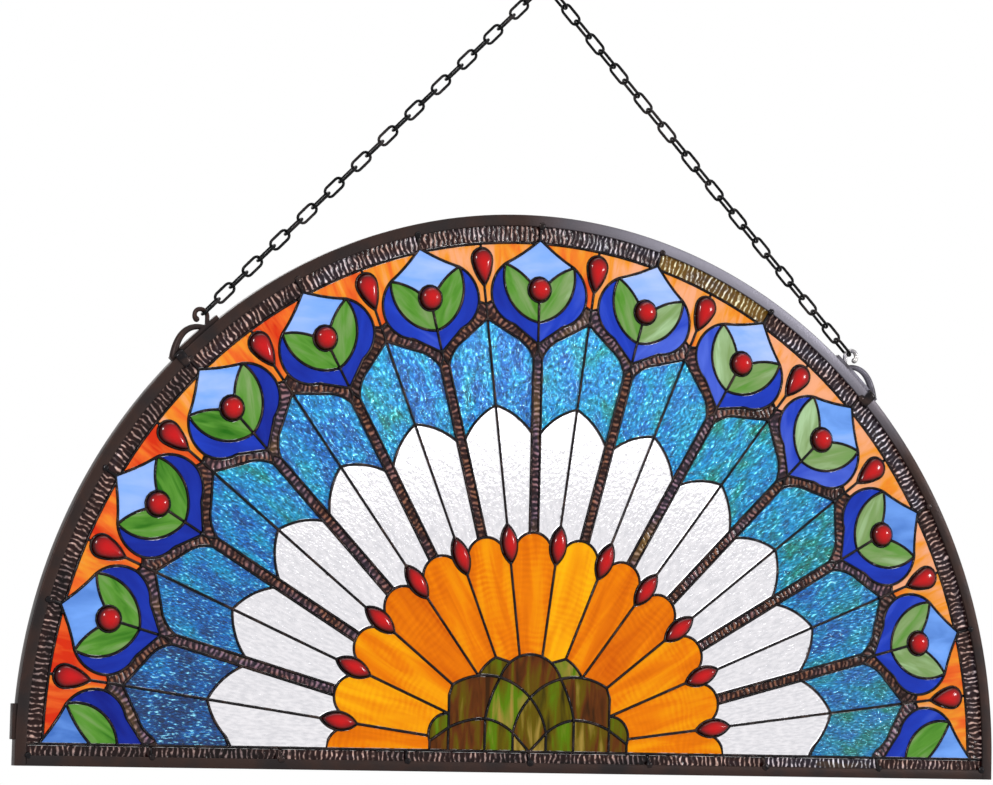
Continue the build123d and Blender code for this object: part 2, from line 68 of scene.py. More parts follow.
# Places that come from the frame
arch_low, arch_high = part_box("frame_arch")
OUTER_RADIUS = (arch_high.x - arch_low.x) / 2
FAN_HEIGHT = arch_high.z - OUTER_RADIUS
FOOT = arch_low.z - FAN_HEIGHT
SILL_LOW, SILL_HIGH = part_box("frame_sill")
GLASS_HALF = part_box("petal_glass")[1].y
SEAM_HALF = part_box("seam_lattice")[1].y
SILL_FACE = SILL_HIGH.z - SILL_LOW.z

# Sizes of what the scene draws, and the angles round the fan, in degrees
FACE_RADIUS = OUTER_RADIUS - 8.5 * MM
FRAME_HALF = 4.3 * MM
FRAME_WEB = 1.5 * MM
FRAME_SOFT = 0.9 * MM
ARCH_STEPS = 160
SILL_STEPS = 40
# Angle and half width of the painted reflection on the arch's right shoulder, and its share on the channel's
# sides
SHOULDER, SHOULDER_HALF = 64, 28
SIDE_SHEEN = 0.35
GAP_STEP = 15.0
BRACKET_ANGLE = 133.1
HOOK_ANGLE = 131.14
STRAP_ANGLE = 135.6
RING_WIRE = 0.68
GEM_STEP = 1.1 * MM
GEM_OVERLAP = 0.35 * MM
PANE_FOOT = 1.1 * MM
RAISED_FOOT = (3 * MM, 6 * MM)

# Differences that count as none
MERGE_GAP = 1e-6
FLAT_GAP = 1e-5
LEVEL_GAP = 0.02 * MM


def length(name, text, default):
    """A size that a user may change, in metres."""
    return FloatProperty(name=name, description=text, default=default, min=0.0, unit="LENGTH")


def share(name, text, default):
    """A share from none to all."""
    return FloatProperty(name=name, description=text, default=default, min=0.0, max=1.0, subtype="FACTOR")


def tint(name, text, default):
    """A colour that a user may change, as it looks on a screen."""
    return FloatVectorProperty(
        name=name, description=text, default=default, size=3, min=0.0, max=1.0, subtype="COLOR_GAMMA"
    )


class GlassSizes(bpy.types.PropertyGroup):
    """Relief of the glass."""

    ripple_pitch: length("Ripple pitch", "From ridge to ridge on the rippled strips", 4.1 * MM)
    ripple_rise: length("Ripple rise", "Height of the ridges on the rippled strips", 0.8 * MM)
    pit_length: length("Pit length", "Length of the dashes on the wave glass", 5.0 * MM)
    pit_width: length("Pit width", "Width of the dashes on the wave glass", 2.2 * MM)
    pit_rise: length("Pit rise", "Height of the dashes on the wave glass", 0.35 * MM)
    clear_rise: length("Clear rise", "Height of the dashes on the clear glass", 0.16 * MM)
    petal_pitch: length("Petal pitch", "From ripple to ripple on the petals", 4.5 * MM)
    petal_rise: length("Petal rise", "Height of the ripples on the petals", 0.12 * MM)
    rolled_rise: length("Rolled rise", "Height of the slow waves on smooth glass", 0.10 * MM)


class GlassColours(bpy.types.PropertyGroup):
    """Colours of the glass, each kind from its deepest to its palest."""

    sky_deep: tint("Sky deep", "Pale pieces at the foot of the fan", (0.25, 0.42, 0.72))
    sky_middle: tint("Sky middle", "Pale pieces halfway up", (0.44, 0.63, 0.93))
    sky_pale: tint("Sky pale", "Pale pieces at the crown", (0.66, 0.75, 0.95))
    leaf_deep: tint("Leaf deep", "Deepest green of the leaves", (0.12, 0.38, 0.05))
    leaf_middle: tint("Leaf middle", "Grass green of the leaves", (0.33, 0.55, 0.19))
    leaf_sage: tint("Leaf sage", "Grey green of the leaves", (0.49, 0.60, 0.38))
    leaf_pale: tint("Leaf pale", "Palest streaks of the leaves", (0.64, 0.76, 0.58))
    cobalt_deep: tint("Cobalt deep", "Deepest blue of the eyes", (0.00, 0.07, 0.50))
    cobalt_middle: tint("Cobalt middle", "Middle blue of the eyes", (0.09, 0.23, 0.74))
    cobalt_pale: tint("Cobalt pale", "Palest blue of the eyes", (0.36, 0.47, 0.90))
    spandrel_red: tint("Spandrel red", "Red streaks between the eyes", (0.80, 0.18, 0.06))
    spandrel_orange: tint("Spandrel orange", "Orange between the eyes", (0.88, 0.38, 0.14))
    spandrel_yellow: tint("Spandrel yellow", "Yellow between the eyes", (0.90, 0.56, 0.16))
    spandrel_pale: tint("Spandrel pale", "Pale salmon between the eyes", (0.92, 0.64, 0.48))
    petal_deep: tint("Petal deep", "Burnt streaks of the petals", (0.74, 0.28, 0.00))
    petal_middle: tint("Petal middle", "Amber of the petals", (0.88, 0.46, 0.00))
    petal_pale: tint("Petal pale", "Yellow of the petals", (0.95, 0.68, 0.03))
    heart_dark: tint("Heart dark", "Darkest green of the heart", (0.19, 0.16, 0.01))
    heart_olive: tint("Heart olive", "Olive of the heart", (0.36, 0.31, 0.01))
    heart_bright: tint("Heart bright", "Bright green of the heart", (0.32, 0.46, 0.02))
    heart_umber: tint("Heart umber", "Dark brown of the heart", (0.22, 0.12, 0.03))
    heart_brown: tint("Heart brown", "Brown of the heart", (0.36, 0.18, 0.05))
    heart_straw: tint("Heart straw", "Pale streaks of the heart", (0.60, 0.50, 0.22))
    ripple_black: tint("Ripple black", "Darkest rippled strips", (0.055, 0.022, 0.024))
    ripple_brown: tint("Ripple brown", "Brown rippled strips", (0.15, 0.07, 0.065))
    ripple_purple: tint("Ripple purple", "Purple rippled strips", (0.14, 0.12, 0.16))
    ripple_amber: tint("Ripple amber", "Amber rippled strips", (0.42, 0.30, 0.10))
    # The crest and strip tints below are painted highlights: glints of light on the ridges of the rippled
    # strips.
    crest_glint_grey: tint("Crest grey", "Ridges of the darkest strips", (0.76, 0.66, 0.66))
    crest_glint_tan: tint("Crest tan", "Ridges of the brown strips", (0.95, 0.78, 0.72))
    crest_glint_lilac: tint("Crest lilac", "Ridges of the purple strips", (0.95, 0.93, 0.98))
    crest_glint_gold: tint("Crest gold", "Ridges of the amber strips", (1.00, 0.97, 0.80))
    strip_glint_grey: tint("Strip grey", "Ridges of the darkest ribs", (0.48, 0.40, 0.42))
    strip_glint_copper: tint("Strip copper", "Ridges of the brown ribs", (0.72, 0.48, 0.36))
    strip_glint_plum: tint("Strip plum", "Ridges of the purple ribs", (0.64, 0.51, 0.60))
    strip_glint_olive: tint("Strip olive", "Ridges of the amber ribs", (0.74, 0.62, 0.28))
    wave_deep: tint("Wave deep", "Deepest blue between the ribs", (0.00, 0.22, 0.46))
    wave_blue: tint("Wave blue", "Blue between the ribs", (0.00, 0.36, 0.67))
    wave_turquoise: tint("Wave turquoise", "Turquoise between the ribs", (0.00, 0.51, 0.70))
    wave_green: tint("Wave green", "Green between the ribs", (0.00, 0.46, 0.42))
    # Painted glint: the fleck tint stands for sparkles of light on the pitted face.
    wave_glint: tint("Wave fleck", "Flecks of the wave glass", (0.58, 0.89, 0.98))
    # Painted shade and painted light: the dashes of the clear glass stand for light bent and mirrored by its
    # face.
    clear_shade: tint("Clear shade", "Hollows of the clear glass", (0.86, 0.855, 0.875))
    clear_light: tint("Clear light", "Ridges of the clear glass", (0.95, 0.94, 0.955))
    # Painted shade at the gems' rims and painted light in their middles.
    gem_shaded_rim: tint("Gem rim", "Rim of the red gems", (0.20, 0.00, 0.01))
    gem_lit_heart: tint("Gem heart", "Middle of the red gems", (0.74, 0.00, 0.02))


class SolderSizes(bpy.types.PropertyGroup):
    """Beads of solder over the seams."""

    step: length("Step", "Distance between points along a seam", 2.1 * MM)
    overlap: length("Overlap", "How far a bead spreads over the glass", 0.02 * MM)
    waver: length("Waver", "How far a bead's edge wanders", 0.16 * MM)
    rise: length("Rise", "Height of a bead over the glass", 1.0 * MM)
    foot: length("Foot", "Depth of a bead's edge below the face of the glass", 0.4 * MM)
    blob_width: length("Blob width", "Width of the drops where seams meet the frame", 6.0 * MM)
    blob_rise: length("Blob rise", "Height of those drops over the frame", 1.1 * MM)


class MetalColours(bpy.types.PropertyGroup):
    """Colours of the metal."""

    solder: tint("Solder", "Black patina on the seams", (0.075, 0.06, 0.07))
    patina: tint("Patina", "Dark patina on the frame", (0.165, 0.145, 0.145))
    patina_warm: tint("Warm patina", "Brown clouds in the patina", (0.215, 0.16, 0.145))
    # A painted reflection: the paler grey along the arch's right shoulder stands in for light mirrored there.
    bare: tint("Bare shoulder", "Paler metal on the arch's right shoulder", (0.50, 0.49, 0.53))
    bracket_grey: tint("Bracket grey", "Paler metal of the right bracket", (0.42, 0.41, 0.45))
    steel: tint("Steel", "Bare curl of the right bracket", (0.72, 0.71, 0.70))
    chain: tint("Chain", "Black finish of the chains and hook", (0.045, 0.045, 0.05))


class ChainSizes(bpy.types.PropertyGroup):
    """Wire of the links, the ring and the hooks."""

    link_wire: length("Link wire", "Thickness of a link's wire", 2.2 * MM)
    weld_swell: share("Weld swell", "How much thicker a link is at its weld", 0.14)
    sides: IntProperty(name="Sides", description="Sides of a round wire", default=10, min=6)


class StudioSettings(bpy.types.PropertyGroup):
    """Camera, floor and lights."""

    camera_place: FloatVectorProperty(
        name="Camera place",
        description="Place of the camera from the fan's centre",
        default=(-1.3258, -2.7779, 0.0449),
        size=3,
        unit="LENGTH",
    )
    camera_turn: FloatVectorProperty(
        name="Camera turn",
        description="Turn of the camera",
        default=(radians(94.126), radians(-1.3505), radians(-25.058)),
        size=3,
        subtype="EULER",
    )
    lens: FloatProperty(name="Lens", description="Focal length in millimetres", default=149.8, min=1.0)
    floor_drop: length("Floor drop", "Height of the sill over the floor", 0.45)
    floor_size: length("Floor size", "Width of the floor", 5.0)
    floor_colour: tint("Floor colour", "Pale floor", (0.93, 0.93, 0.93))
    daylight: share("Daylight", "Light from all round", 0.52)


def sizes(name):
    """The scene's group of settings with a name."""
    return getattr(bpy.context.scene, name)


# Outlines, as rows of (x, height over the fan's centre)
def merged_mesh(node):
    """A node's mesh with its doubled vertices merged."""
    merged = bmesh.new()
    merged.from_mesh(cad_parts[node].data)
    bmesh.ops.remove_doubles(merged, verts=merged.verts, dist=MERGE_GAP)
    return merged


def islands(node):
    """The points of each loose part of a node."""
    merged = merged_mesh(node)
    left = set(merged.verts)
    found = []
    for first in merged.verts:
        if first not in left:
            continue
        left.discard(first)
        reached = [first]
        for vert in reached:
            for edge in vert.link_edges:
                other = edge.other_vert(vert)
                if other in left:
                    left.discard(other)
                    reached.append(other)
        found.append(np.array([vert.co[:] for vert in reached]))
    merged.free()
    return found


def outlines(node, back=False):
    """Outlines of a node's front faces, or of its back ones, in order round the fan."""
    merged = merged_mesh(node)
    depths = [vert.co.y for vert in merged.verts]
    face_depth = max(depths) if back else min(depths)
    rest = [f for f in merged.faces if any(abs(v.co.y - face_depth) > FLAT_GAP for v in f.verts)]
    bmesh.ops.delete(merged, geom=rest, context="FACES")
    left = {edge for edge in merged.edges if edge.is_boundary}
    found = []
    for first in merged.edges:
        if first not in left:
            continue
        left.discard(first)
        start, here = first.verts
        ring = [start, here]
        while here is not start:
            edge = next(edge for edge in here.link_edges if edge in left)
            left.discard(edge)
            here = edge.other_vert(here)
            ring.append(here)
        ring = np.array([(vert.co.x, vert.co.z - FAN_HEIGHT) for vert in ring[:-1]])
        found.append(settle(ring if area(ring) > 0 else ring[::-1]))
    merged.free()
    return sorted(found, key=lambda ring: (round(pane_angle(ring)), np.hypot(*ring.mean(axis=0))))


def settle(ring):
    """An outline whose level foot, where it ends above the sill, comes down to the sill."""
    height = ring[:, 1]
    rise = np.minimum(np.abs(height - np.roll(height, 1)), np.abs(height - np.roll(height, -1)))
    raised = (rise < LEVEL_GAP) & (height > RAISED_FOOT[0]) & (height < RAISED_FOOT[1])
    return np.stack([ring[:, 0], np.where(raised, PANE_FOOT, height)], axis=1)


def area(ring):
    """Area inside an outline, positive where it runs anticlockwise."""
    following = np.roll(ring, -1, axis=0)
    return (ring[:, 0] * following[:, 1] - ring[:, 1] * following[:, 0]).sum() / 2


def pane_angle(ring):
    """Angle of an outline's middle round the fan, from +X."""
    middle = ring.mean(axis=0)
    return degrees(atan2(middle[1], middle[0]))


def smooth_line(points, step):
    """Points at even steps on a smooth line through the given ones."""
    fine = [points[:1]]
    for start, end in zip(points[:-1], points[1:]):
        count = ceil(np.linalg.norm(end - start) / (5 * MM))
        fine.append(start + (end - start) * np.linspace(0, 1, count + 1)[1:, None])
    points = np.vstack(fine)
    spans = np.linalg.norm(np.diff(points, axis=0), axis=1)
    along = np.concatenate([[0.0], np.cumsum(spans)])
    slopes = np.gradient(points, along, axis=0)
    places = np.linspace(0, along[-1], max(1, round(along[-1] / step)) + 1)
    number = np.clip(np.searchsorted(along, places, side="right") - 1, 0, len(spans) - 1)
    span = spans[number][:, None]
    t = ((places - along[number]) / spans[number])[:, None]
    start, end = points[number], points[number + 1]
    return (
        (2 * t**3 - 3 * t**2 + 1) * start
        + (t**3 - 2 * t**2 + t) * span * slopes[number]
        + (3 * t**2 - 2 * t**3) * end
        + (t**3 - t**2) * span * slopes[number + 1]
    )


def resample(ring, step, corner=radians(24)):
    """An outline with even steps, smooth between its corners and sharp at them."""
    before = ring - np.roll(ring, 1, axis=0)
    after = np.roll(ring, -1, axis=0) - ring
    turn = np.arctan2(before[:, 0] * after[:, 1] - before[:, 1] * after[:, 0], (before * after).sum(axis=1))
    corners = np.nonzero(np.abs(turn) > corner)[0]
    if len(corners) == 0:
        closed = smooth_line(np.vstack([ring, ring[:1]]), step)
        return closed[:-1]
    ring = np.roll(ring, -corners[0], axis=0)
    corners = np.append(corners - corners[0], len(ring))
    ring = np.vstack([ring, ring[:1]])
    stretches = [smooth_line(ring[a : b + 1], step)[:-1] for a, b in zip(corners[:-1], corners[1:])]
    return np.vstack(stretches)


def inside(places, ring):
    """Which places lie within an outline."""
    following = np.roll(ring, -1, axis=0)
    x, y = places[:, 0, None], places[:, 1, None]
    rise = following[:, 1] - ring[:, 1]
    rise = np.where(rise == 0, 1e-12, rise)
    crosses = (ring[:, 1] > y) != (following[:, 1] > y)
    reach = ring[:, 0] + (y - ring[:, 1]) * (following[:, 0] - ring[:, 0]) / rise
    return (crosses & (x < reach)).sum(axis=1) % 2 == 1


def distance(places, ring):
    """Distance of places from an outline."""
    side = np.roll(ring, -1, axis=0) - ring
    reach = places[:, None, :] - ring[None]
    along = (reach * side).sum(axis=2) / (side * side).sum(axis=1)
    gap = reach - np.clip(along, 0, 1)[:, :, None] * side
    return np.linalg.norm(gap, axis=2).min(axis=1)


def outward(ring):
    """Unit normals of an outline's points, away from its inside."""
    side = np.roll(ring, -1, axis=0) - np.roll(ring, 1, axis=0)
    normal = np.stack([side[:, 1], -side[:, 0]], axis=1)
    return normal / np.linalg.norm(normal, axis=1)[:, None]


def triangles(points, ring_size):
    """Triangles between points, of which the first ring_size are the outline."""
    corners = [Vector(p) / MM for p in points]
    edges = [(i, (i + 1) % ring_size) for i in range(ring_size)]
    made = delaunay_2d_cdt(corners, edges, [], 0, 1e-7, True)
    source = [origins[0] for origins in made[3]]
    faces = np.array([[source[i] for i in face] for face in made[2]])
    return faces[inside(points[faces].mean(axis=1), points[:ring_size])].tolist()


def ripple(u, v, seed):
    """Smooth noise from about -1 to 1 over two rows of coordinates."""
    return np.array([noise.noise((a, b, seed)) for a, b in zip(u, v)])


class Grain:
    """Straight grain of a pane: u runs along it and v across it."""

    def __init__(self, turn):
        self.turn = np.array([[cos(turn), -sin(turn)], [sin(turn), cos(turn)]])

    def measure(self, places):
        return places @ self.turn

    def place(self, measures):
        return measures @ self.turn.T


class RingGrain:
    """Grain that runs round the fan: u along the arc and v outward."""

    def measure(self, places):
        radius = np.hypot(places[:, 0], places[:, 1])
        return np.stack([np.arctan2(places[:, 1], places[:, 0]) * OUTER_RADIUS, radius], axis=1)

    def place(self, measures):
        turn = measures[:, 0] / OUTER_RADIUS
        return np.stack([np.cos(turn), np.sin(turn)], axis=1) * measures[:, 1, None]


def pane_grain(ring, kind):
    """Grain of a pane by its kind: radial, ring, level, upright or long."""
    if kind == "ring":
        return RingGrain()
    if kind == "level":
        return Grain(0.0)
    if kind == "upright":
        return Grain(pi / 2)
    if kind == "radial":
        return Grain(radians(pane_angle(ring)))
    axis = np.linalg.svd(ring - ring.mean(axis=0), full_matrices=False)[2][0]
    return Grain(atan2(axis[1], axis[0]))


def fill_places(ring, grain, along, across):
    """Places inside an outline, in staggered rows that follow its grain."""
    measures = grain.measure(ring)
    low, high = measures.min(axis=0), measures.max(axis=0)
    u = np.arange(low[0] + along / 2, high[0], along)
    v = np.arange(low[1] + across / 2, high[1], across)
    u, v = np.meshgrid(u, v)
    u[1::2] += along / 2
    places = grain.place(np.stack([u.ravel(), v.ravel()], axis=1))
    places = places[inside(places, ring)]
    return places[distance(places, ring) > 0.45 * min(along, across)]


class Piece:
    """Vertices, faces and values of one mesh, gathered part by part."""

    def __init__(self):
        self.verts, self.faces, self.values, self.slots = [], [], {}, []

    def add(self, verts, faces, slot=0, **values):
        """Add a part, with a value for each of its vertices under each name."""
        first = sum(len(part) for part in self.verts)
        self.verts.append(np.asarray(verts, float))
        self.faces += [[first + i for i in face] for face in faces]
        self.slots += [slot] * len(faces)
        for name, value in values.items():
            self.values.setdefault(name, []).append(np.asarray(value, np.float32))

    def build(self, name, materials, node=None, crease=radians(40)):
        """The object, on the body, in place of its node and with its slot."""
        mesh = bpy.data.meshes.new(name)
        mesh.from_pydata(np.vstack(self.verts).tolist(), [], self.faces)
        for key, parts in self.values.items():
            data = np.concatenate(parts)
            kind = "FLOAT_VECTOR" if data.ndim == 2 else "FLOAT"
            attribute = mesh.attributes.new(key, kind, "POINT")
            attribute.data.foreach_set("vector" if data.ndim == 2 else "value", data.ravel())
        for material in materials:
            mesh.materials.append(material)
        mesh.polygons.foreach_set("material_index", self.slots)
        mesh.polygons.foreach_set("use_smooth", [True] * len(self.faces))
        mesh.set_sharp_from_angle(angle=crease)
        mesh.validate()
        piece = bpy.data.objects.new(name, mesh)
        bpy.context.scene.collection.objects.link(piece)
        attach(piece, BODY)
        if node:
            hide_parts(node)
        return piece


def front_points(places, depth):
    """Points in the row frame from places on the panel and depths."""
    return np.stack([places[:, 0], depth, places[:, 1] + FAN_HEIGHT], axis=1)


def slab(places, ring_size, front, back):
    """Vertices and faces of a closed slab between a front and a back relief."""
    flat = triangles(places, ring_size)
    count = len(places)
    verts = np.vstack([front_points(places, -front), front_points(places, back)])
    faces = flat + [[count + i for i in reversed(face)] for face in flat]
    for i in range(ring_size):
        j = (i + 1) % ring_size
        faces.append([i, count + i, count + j, j])
    return verts, faces


# Materials
def linear(colour):
    """Shader colour from one as it looks on a screen."""
    return [*(c / 12.92 if c <= 0.04045 else ((c + 0.055) / 1.055) ** 2.4 for c in colour), 1.0]


def add(tree, kind, inputs=None, **settings):
    """A shader node with its settings, and its inputs set or linked."""
    made = tree.nodes.new("ShaderNode" + kind)
    for name, value in settings.items():
        setattr(made, name, value)
    for name, value in (inputs or {}).items():
        if isinstance(value, bpy.types.NodeSocket):
            tree.links.new(value, made.inputs[name])
        else:
            made.inputs[name].default_value = value
    return made


def new_material(name, **sockets):
    """A material with its main shader's constants set, and its tree and shader."""
    material = bpy.data.materials.new(name)
    material.use_nodes = True
    surface = material.node_tree.nodes["Principled BSDF"]
    for socket, value in sockets.items():
        surface.inputs[socket.replace("_", " ")].default_value = value
    return material, material.node_tree, surface


def mix_colour(tree, factor, first, second, blend="MIX"):
    """Colour between two, by a factor."""
    mixed = add(tree, "Mix", data_type="RGBA", blend_type=blend)
    for number, value in ((0, factor), (6, first), (7, second)):
        if isinstance(value, bpy.types.NodeSocket):
            tree.links.new(value, mixed.inputs[number])
        else:
            mixed.inputs[number].default_value = value
    return mixed.outputs[2]


def ramp(tree, factor, colours):
    """Colour from a row of colours at even stops."""
    made = add(tree, "ValToRGB", {"Fac": factor})
    stops = made.color_ramp.elements
    for number, colour in enumerate(colours):
        place = number / (len(colours) - 1)
        stop = stops[number] if number < 2 else stops.new(place)
        stop.position = place
        stop.color = linear(colour)
    return made.outputs["Color"]


def value_of(tree, name, output="Fac"):
    """A value that a piece's mesh carries."""
    return add(tree, "Attribute", attribute_name=name).outputs[output]


def grain_noise(tree, along, across, detail=2.0, distortion=0.0):
    """Noise stretched over a pane's grain, by its sizes along and across it."""
    inputs = {0: value_of(tree, "grain", "Vector"), 1: (1 / along, 1 / across, 1.0)}
    place = add(tree, "VectorMath", inputs, operation="MULTIPLY").outputs[0]
    inputs = {"Vector": place, "Scale": 1.0, "Detail": detail, "Distortion": distortion}
    return add(tree, "TexNoise", inputs).outputs["Fac"]


def spread(tree, value, low, high, to_low, to_high):
    """A value moved from one range to another."""
    inputs = {"Value": value, "From Min": low, "From Max": high, "To Min": to_low, "To Max": to_high}
    return add(tree, "MapRange", inputs).outputs["Result"]


def total(tree, first, second, operation="ADD"):
    """Sum of two values, or another operation on them."""
    return add(tree, "Math", {0: first, 1: second}, operation=operation).outputs[0]


def bump(tree, surface, height, depth):
    """Fine relief under a surface's light."""
    made = add(tree, "Bump", {"Height": height, "Distance": depth, "Strength": 1.0})
    tree.links.new(made.outputs["Normal"], surface.inputs["Normal"])


def streaky_glass(name, colours, streak, strength, transmission=0.0):
    """Streaked art glass: colours by the pane's tone and by streaks along its grain."""
    material, tree, surface = new_material(
        name, Roughness=0.14, IOR=1.5, Specular_IOR_Level=0.08, Transmission_Weight=transmission
    )
    streaks = spread(tree, grain_noise(tree, *streak, 3.0, 0.6), 0.3, 0.7, -strength, strength)
    clouds = spread(tree, grain_noise(tree, 40 * MM, 30 * MM, 1.0), 0.3, 0.7, -strength / 2, strength / 2)
    tone = total(tree, value_of(tree, "tone"), total(tree, streaks, clouds))
    tree.links.new(ramp(tree, tone, colours), surface.inputs["Base Color"])
    bump(tree, surface, grain_noise(tree, 9 * MM, 6 * MM, 2.0), 0.25 * MM)
    return material


def petal_finish(name, colours):
    """Amber glass with burnt ripples across each petal."""
    material, tree, surface = new_material(name, Roughness=0.16, IOR=1.5, Specular_IOR_Level=0.08)
    streaks = spread(tree, grain_noise(tree, 60 * MM, 9 * MM, 3.0, 0.5), 0.3, 0.7, -0.22, 0.22)
    ridges = spread(tree, value_of(tree, "height"), 0.0, 1.0, -0.16, 0.10)
    patches = spread(tree, grain_noise(tree, 35 * MM, 20 * MM, 1.0), 0.35, 0.65, 0.0, 1.0)
    burnt = total(tree, ridges, patches, "MULTIPLY")
    tone = total(tree, value_of(tree, "tone"), total(tree, streaks, burnt))
    tree.links.new(ramp(tree, tone, colours), surface.inputs["Base Color"])
    bump(tree, surface, grain_noise(tree, 3 * MM, 12 * MM, 2.0), 0.15 * MM)
    return material


def ripple_finish(name, bodies, highlight_tints, low, high, glint):
    """Dark rippled glass with painted highlights on its ridges, stronger where its tone is higher."""
    material, tree, surface = new_material(name, Roughness=0.12, IOR=1.5, Specular_IOR_Level=0.15)
    waver = spread(tree, grain_noise(tree, 45 * MM, 14 * MM, 2.0), 0.3, 0.7, -0.22, 0.22)
    tone = total(tree, value_of(tree, "tone"), waver)
    # Painted highlights: the ridge tops take the crest tints, broken into glinting patches.
    ridge_highlight = spread(tree, value_of(tree, "height"), low, high, 0.0, 1.0)
    patches = spread(tree, grain_noise(tree, 4 * MM, 4 * MM, 2.0), 0.40, 0.58, 0.08, 1.0)
    patches = total(tree, patches, spread(tree, tone, 0.05, 0.6, glint, 1.0), "MULTIPLY")
    highlight_share = total(tree, ridge_highlight, patches, "MULTIPLY")
    colour = mix_colour(tree, highlight_share, ramp(tree, tone, bodies), ramp(tree, tone, highlight_tints))
    tree.links.new(colour, surface.inputs["Base Color"])
    bump(tree, surface, grain_noise(tree, 1.5 * MM, 4 * MM, 2.0), 0.2 * MM)
    return material


def wave_finish(name, colours, fleck_glint):
    """Clouded blue glass, with painted shade in its pits and painted glints as pale dashes on its pitted
    face.
    """
    material, tree, surface = new_material(
        name, Roughness=0.08, IOR=1.5, Specular_IOR_Level=0.07, Transmission_Weight=0.8
    )
    clouds = spread(tree, grain_noise(tree, 26 * MM, 14 * MM, 2.0, 0.4), 0.3, 0.7, -0.34, 0.34)
    tone = total(tree, value_of(tree, "tone"), clouds)
    dashes = grain_noise(tree, 3.4 * MM, 1.25 * MM, 2.0, 0.3)
    # Painted shade in the pits of the dashes.
    pit_shade = spread(tree, dashes, 0.34, 0.50, 0.30, 1.0)
    body = mix_colour(tree, 1.0, ramp(tree, tone, colours), pit_shade, "MULTIPLY")
    # Painted glints: pale flecks on the tops of the dashes.
    light = spread(tree, dashes, 0.59, 0.67, 0.0, 1.0)
    colour = mix_colour(tree, light, body, linear(fleck_glint))
    tree.links.new(colour, surface.inputs["Base Color"])
    bump(tree, surface, grain_noise(tree, 2.4 * MM, 1.1 * MM, 2.0), 0.5 * MM)
    return material


def clear_finish(name, shade, light):
    """Clear glass with a finely dashed face, its dashes painted in shade and light."""
    material, tree, surface = new_material(
        name, Roughness=0.08, IOR=1.45, Specular_IOR_Level=0.2, Transmission_Weight=1.0
    )
    # Painted shade and light in dashes over the clear glass.
    dashes = spread(tree, grain_noise(tree, 6 * MM, 1.8 * MM, 3.0), 0.35, 0.65, 0.0, 1.0)
    colour = mix_colour(tree, dashes, linear(shade), linear(light))
    tree.links.new(colour, surface.inputs["Base Color"])
    bump(tree, surface, grain_noise(tree, 3 * MM, 1.2 * MM, 2.0), 0.2 * MM)
    return material


def gem_finish(name, rim, heart):
    """Polished red glass, with painted shade at its rim and painted light in its middle."""
    material, tree, surface = new_material(name, Roughness=0.14, IOR=1.5, Specular_IOR_Level=0.24)
    # Painted shade: the rim darkens and the middle brightens with the dome's height.
    edge = spread(tree, value_of(tree, "height"), 0.4, 1.0, 0.0, 1.0)
    tree.links.new(mix_colour(tree, edge, linear(rim), linear(heart)), surface.inputs["Base Color"])
    return material


def metal_finish(name, colours, cloud, roughness, metallic, grit, depth=0.12 * MM, bare=None, gloss=0.12):
    """Patinated metal with clouds, a fine grit and, where a mesh says so, a painted reflection in a paler
    tone.
    """
    material, tree, surface = new_material(name, Metallic=metallic, Specular_IOR_Level=gloss)
    place = add(tree, "TexCoord").outputs["Object"]
    clouds = add(tree, "TexNoise", {"Vector": place, "Scale": 1 / cloud, "Detail": 4.0}).outputs["Fac"]
    colour = ramp(tree, spread(tree, clouds, 0.35, 0.65, 0.0, 1.0), colours)
    # Painted reflection: a paler tone where the mesh's share says so.
    if bare is not None:
        colour = mix_colour(tree, value_of(tree, "bare"), colour, linear(bare))
    tree.links.new(colour, surface.inputs["Base Color"])
    rough = spread(tree, clouds, 0.3, 0.7, roughness * 0.75, roughness * 1.25)
    tree.links.new(rough, surface.inputs["Roughness"])
    fine = add(tree, "TexNoise", {"Vector": place, "Scale": 1 / grit, "Detail": 3.0}).outputs["Fac"]
    bump(tree, surface, fine, depth)
    return material


# Glass
GlassKind = namedtuple("GlassKind", "node piece grain along across tones tone_spread relief")


def fan_tone(angle, tones):
    """Tone by the place round the fan, from its right foot over its crown to its left foot."""
    return float(np.interp(angle, np.linspace(0, 180, len(tones)), tones))


def rolled_relief(u, v, seed):
    """Slow waves of smooth glass."""
    rise = sizes("fan_glass").rolled_rise
    waves = ripple(u / (11 * MM), v / (8 * MM), seed)
    return rise * waves, 0.5 + 0.5 * waves


def petal_relief(u, v, seed):
    """Low ripples across a petal."""
    glass = sizes("fan_glass")
    phase = u / glass.petal_pitch + 0.8 * ripple(u / (14 * MM), v / (11 * MM), seed)
    waves = np.sin(tau * phase) * (0.6 + 0.4 * ripple(u / (30 * MM), v / (12 * MM), seed + 5))
    return glass.petal_rise * waves, 0.5 + 0.5 * waves


def ridged_relief(u, v, seed):
    """Uneven ridges across a strip."""
    glass = sizes("fan_glass")
    wander = 0.55 * ripple(u / (9 * MM), v / (6 * MM), seed)
    wander += 0.22 * ripple(u / (3 * MM), v / (2.5 * MM), seed + 3)
    waves = np.sin(tau * (u / glass.ripple_pitch + wander))
    strength = 0.75 + 0.35 * ripple(u / (6 * MM), v / (4 * MM), seed + 9)
    height = np.clip(0.5 + 0.5 * waves * strength, 0, 1)
    return glass.ripple_rise * (height - 0.5), height


def pitted_relief(rise_name):
    """Relief of dashes along the grain, with the rise of one of the glass sizes."""

    def relief(u, v, seed):
        glass = sizes("fan_glass")
        rise = getattr(glass, rise_name)
        dashes = ripple(u / glass.pit_length, v / glass.pit_width, seed)
        fine = ripple(u / (2.4 * MM), v / (1.4 * MM), seed + 4)
        waves = 0.7 * dashes + 0.3 * fine
        return rise * waves, np.clip(0.5 + 0.8 * waves, 0, 1)

    return relief


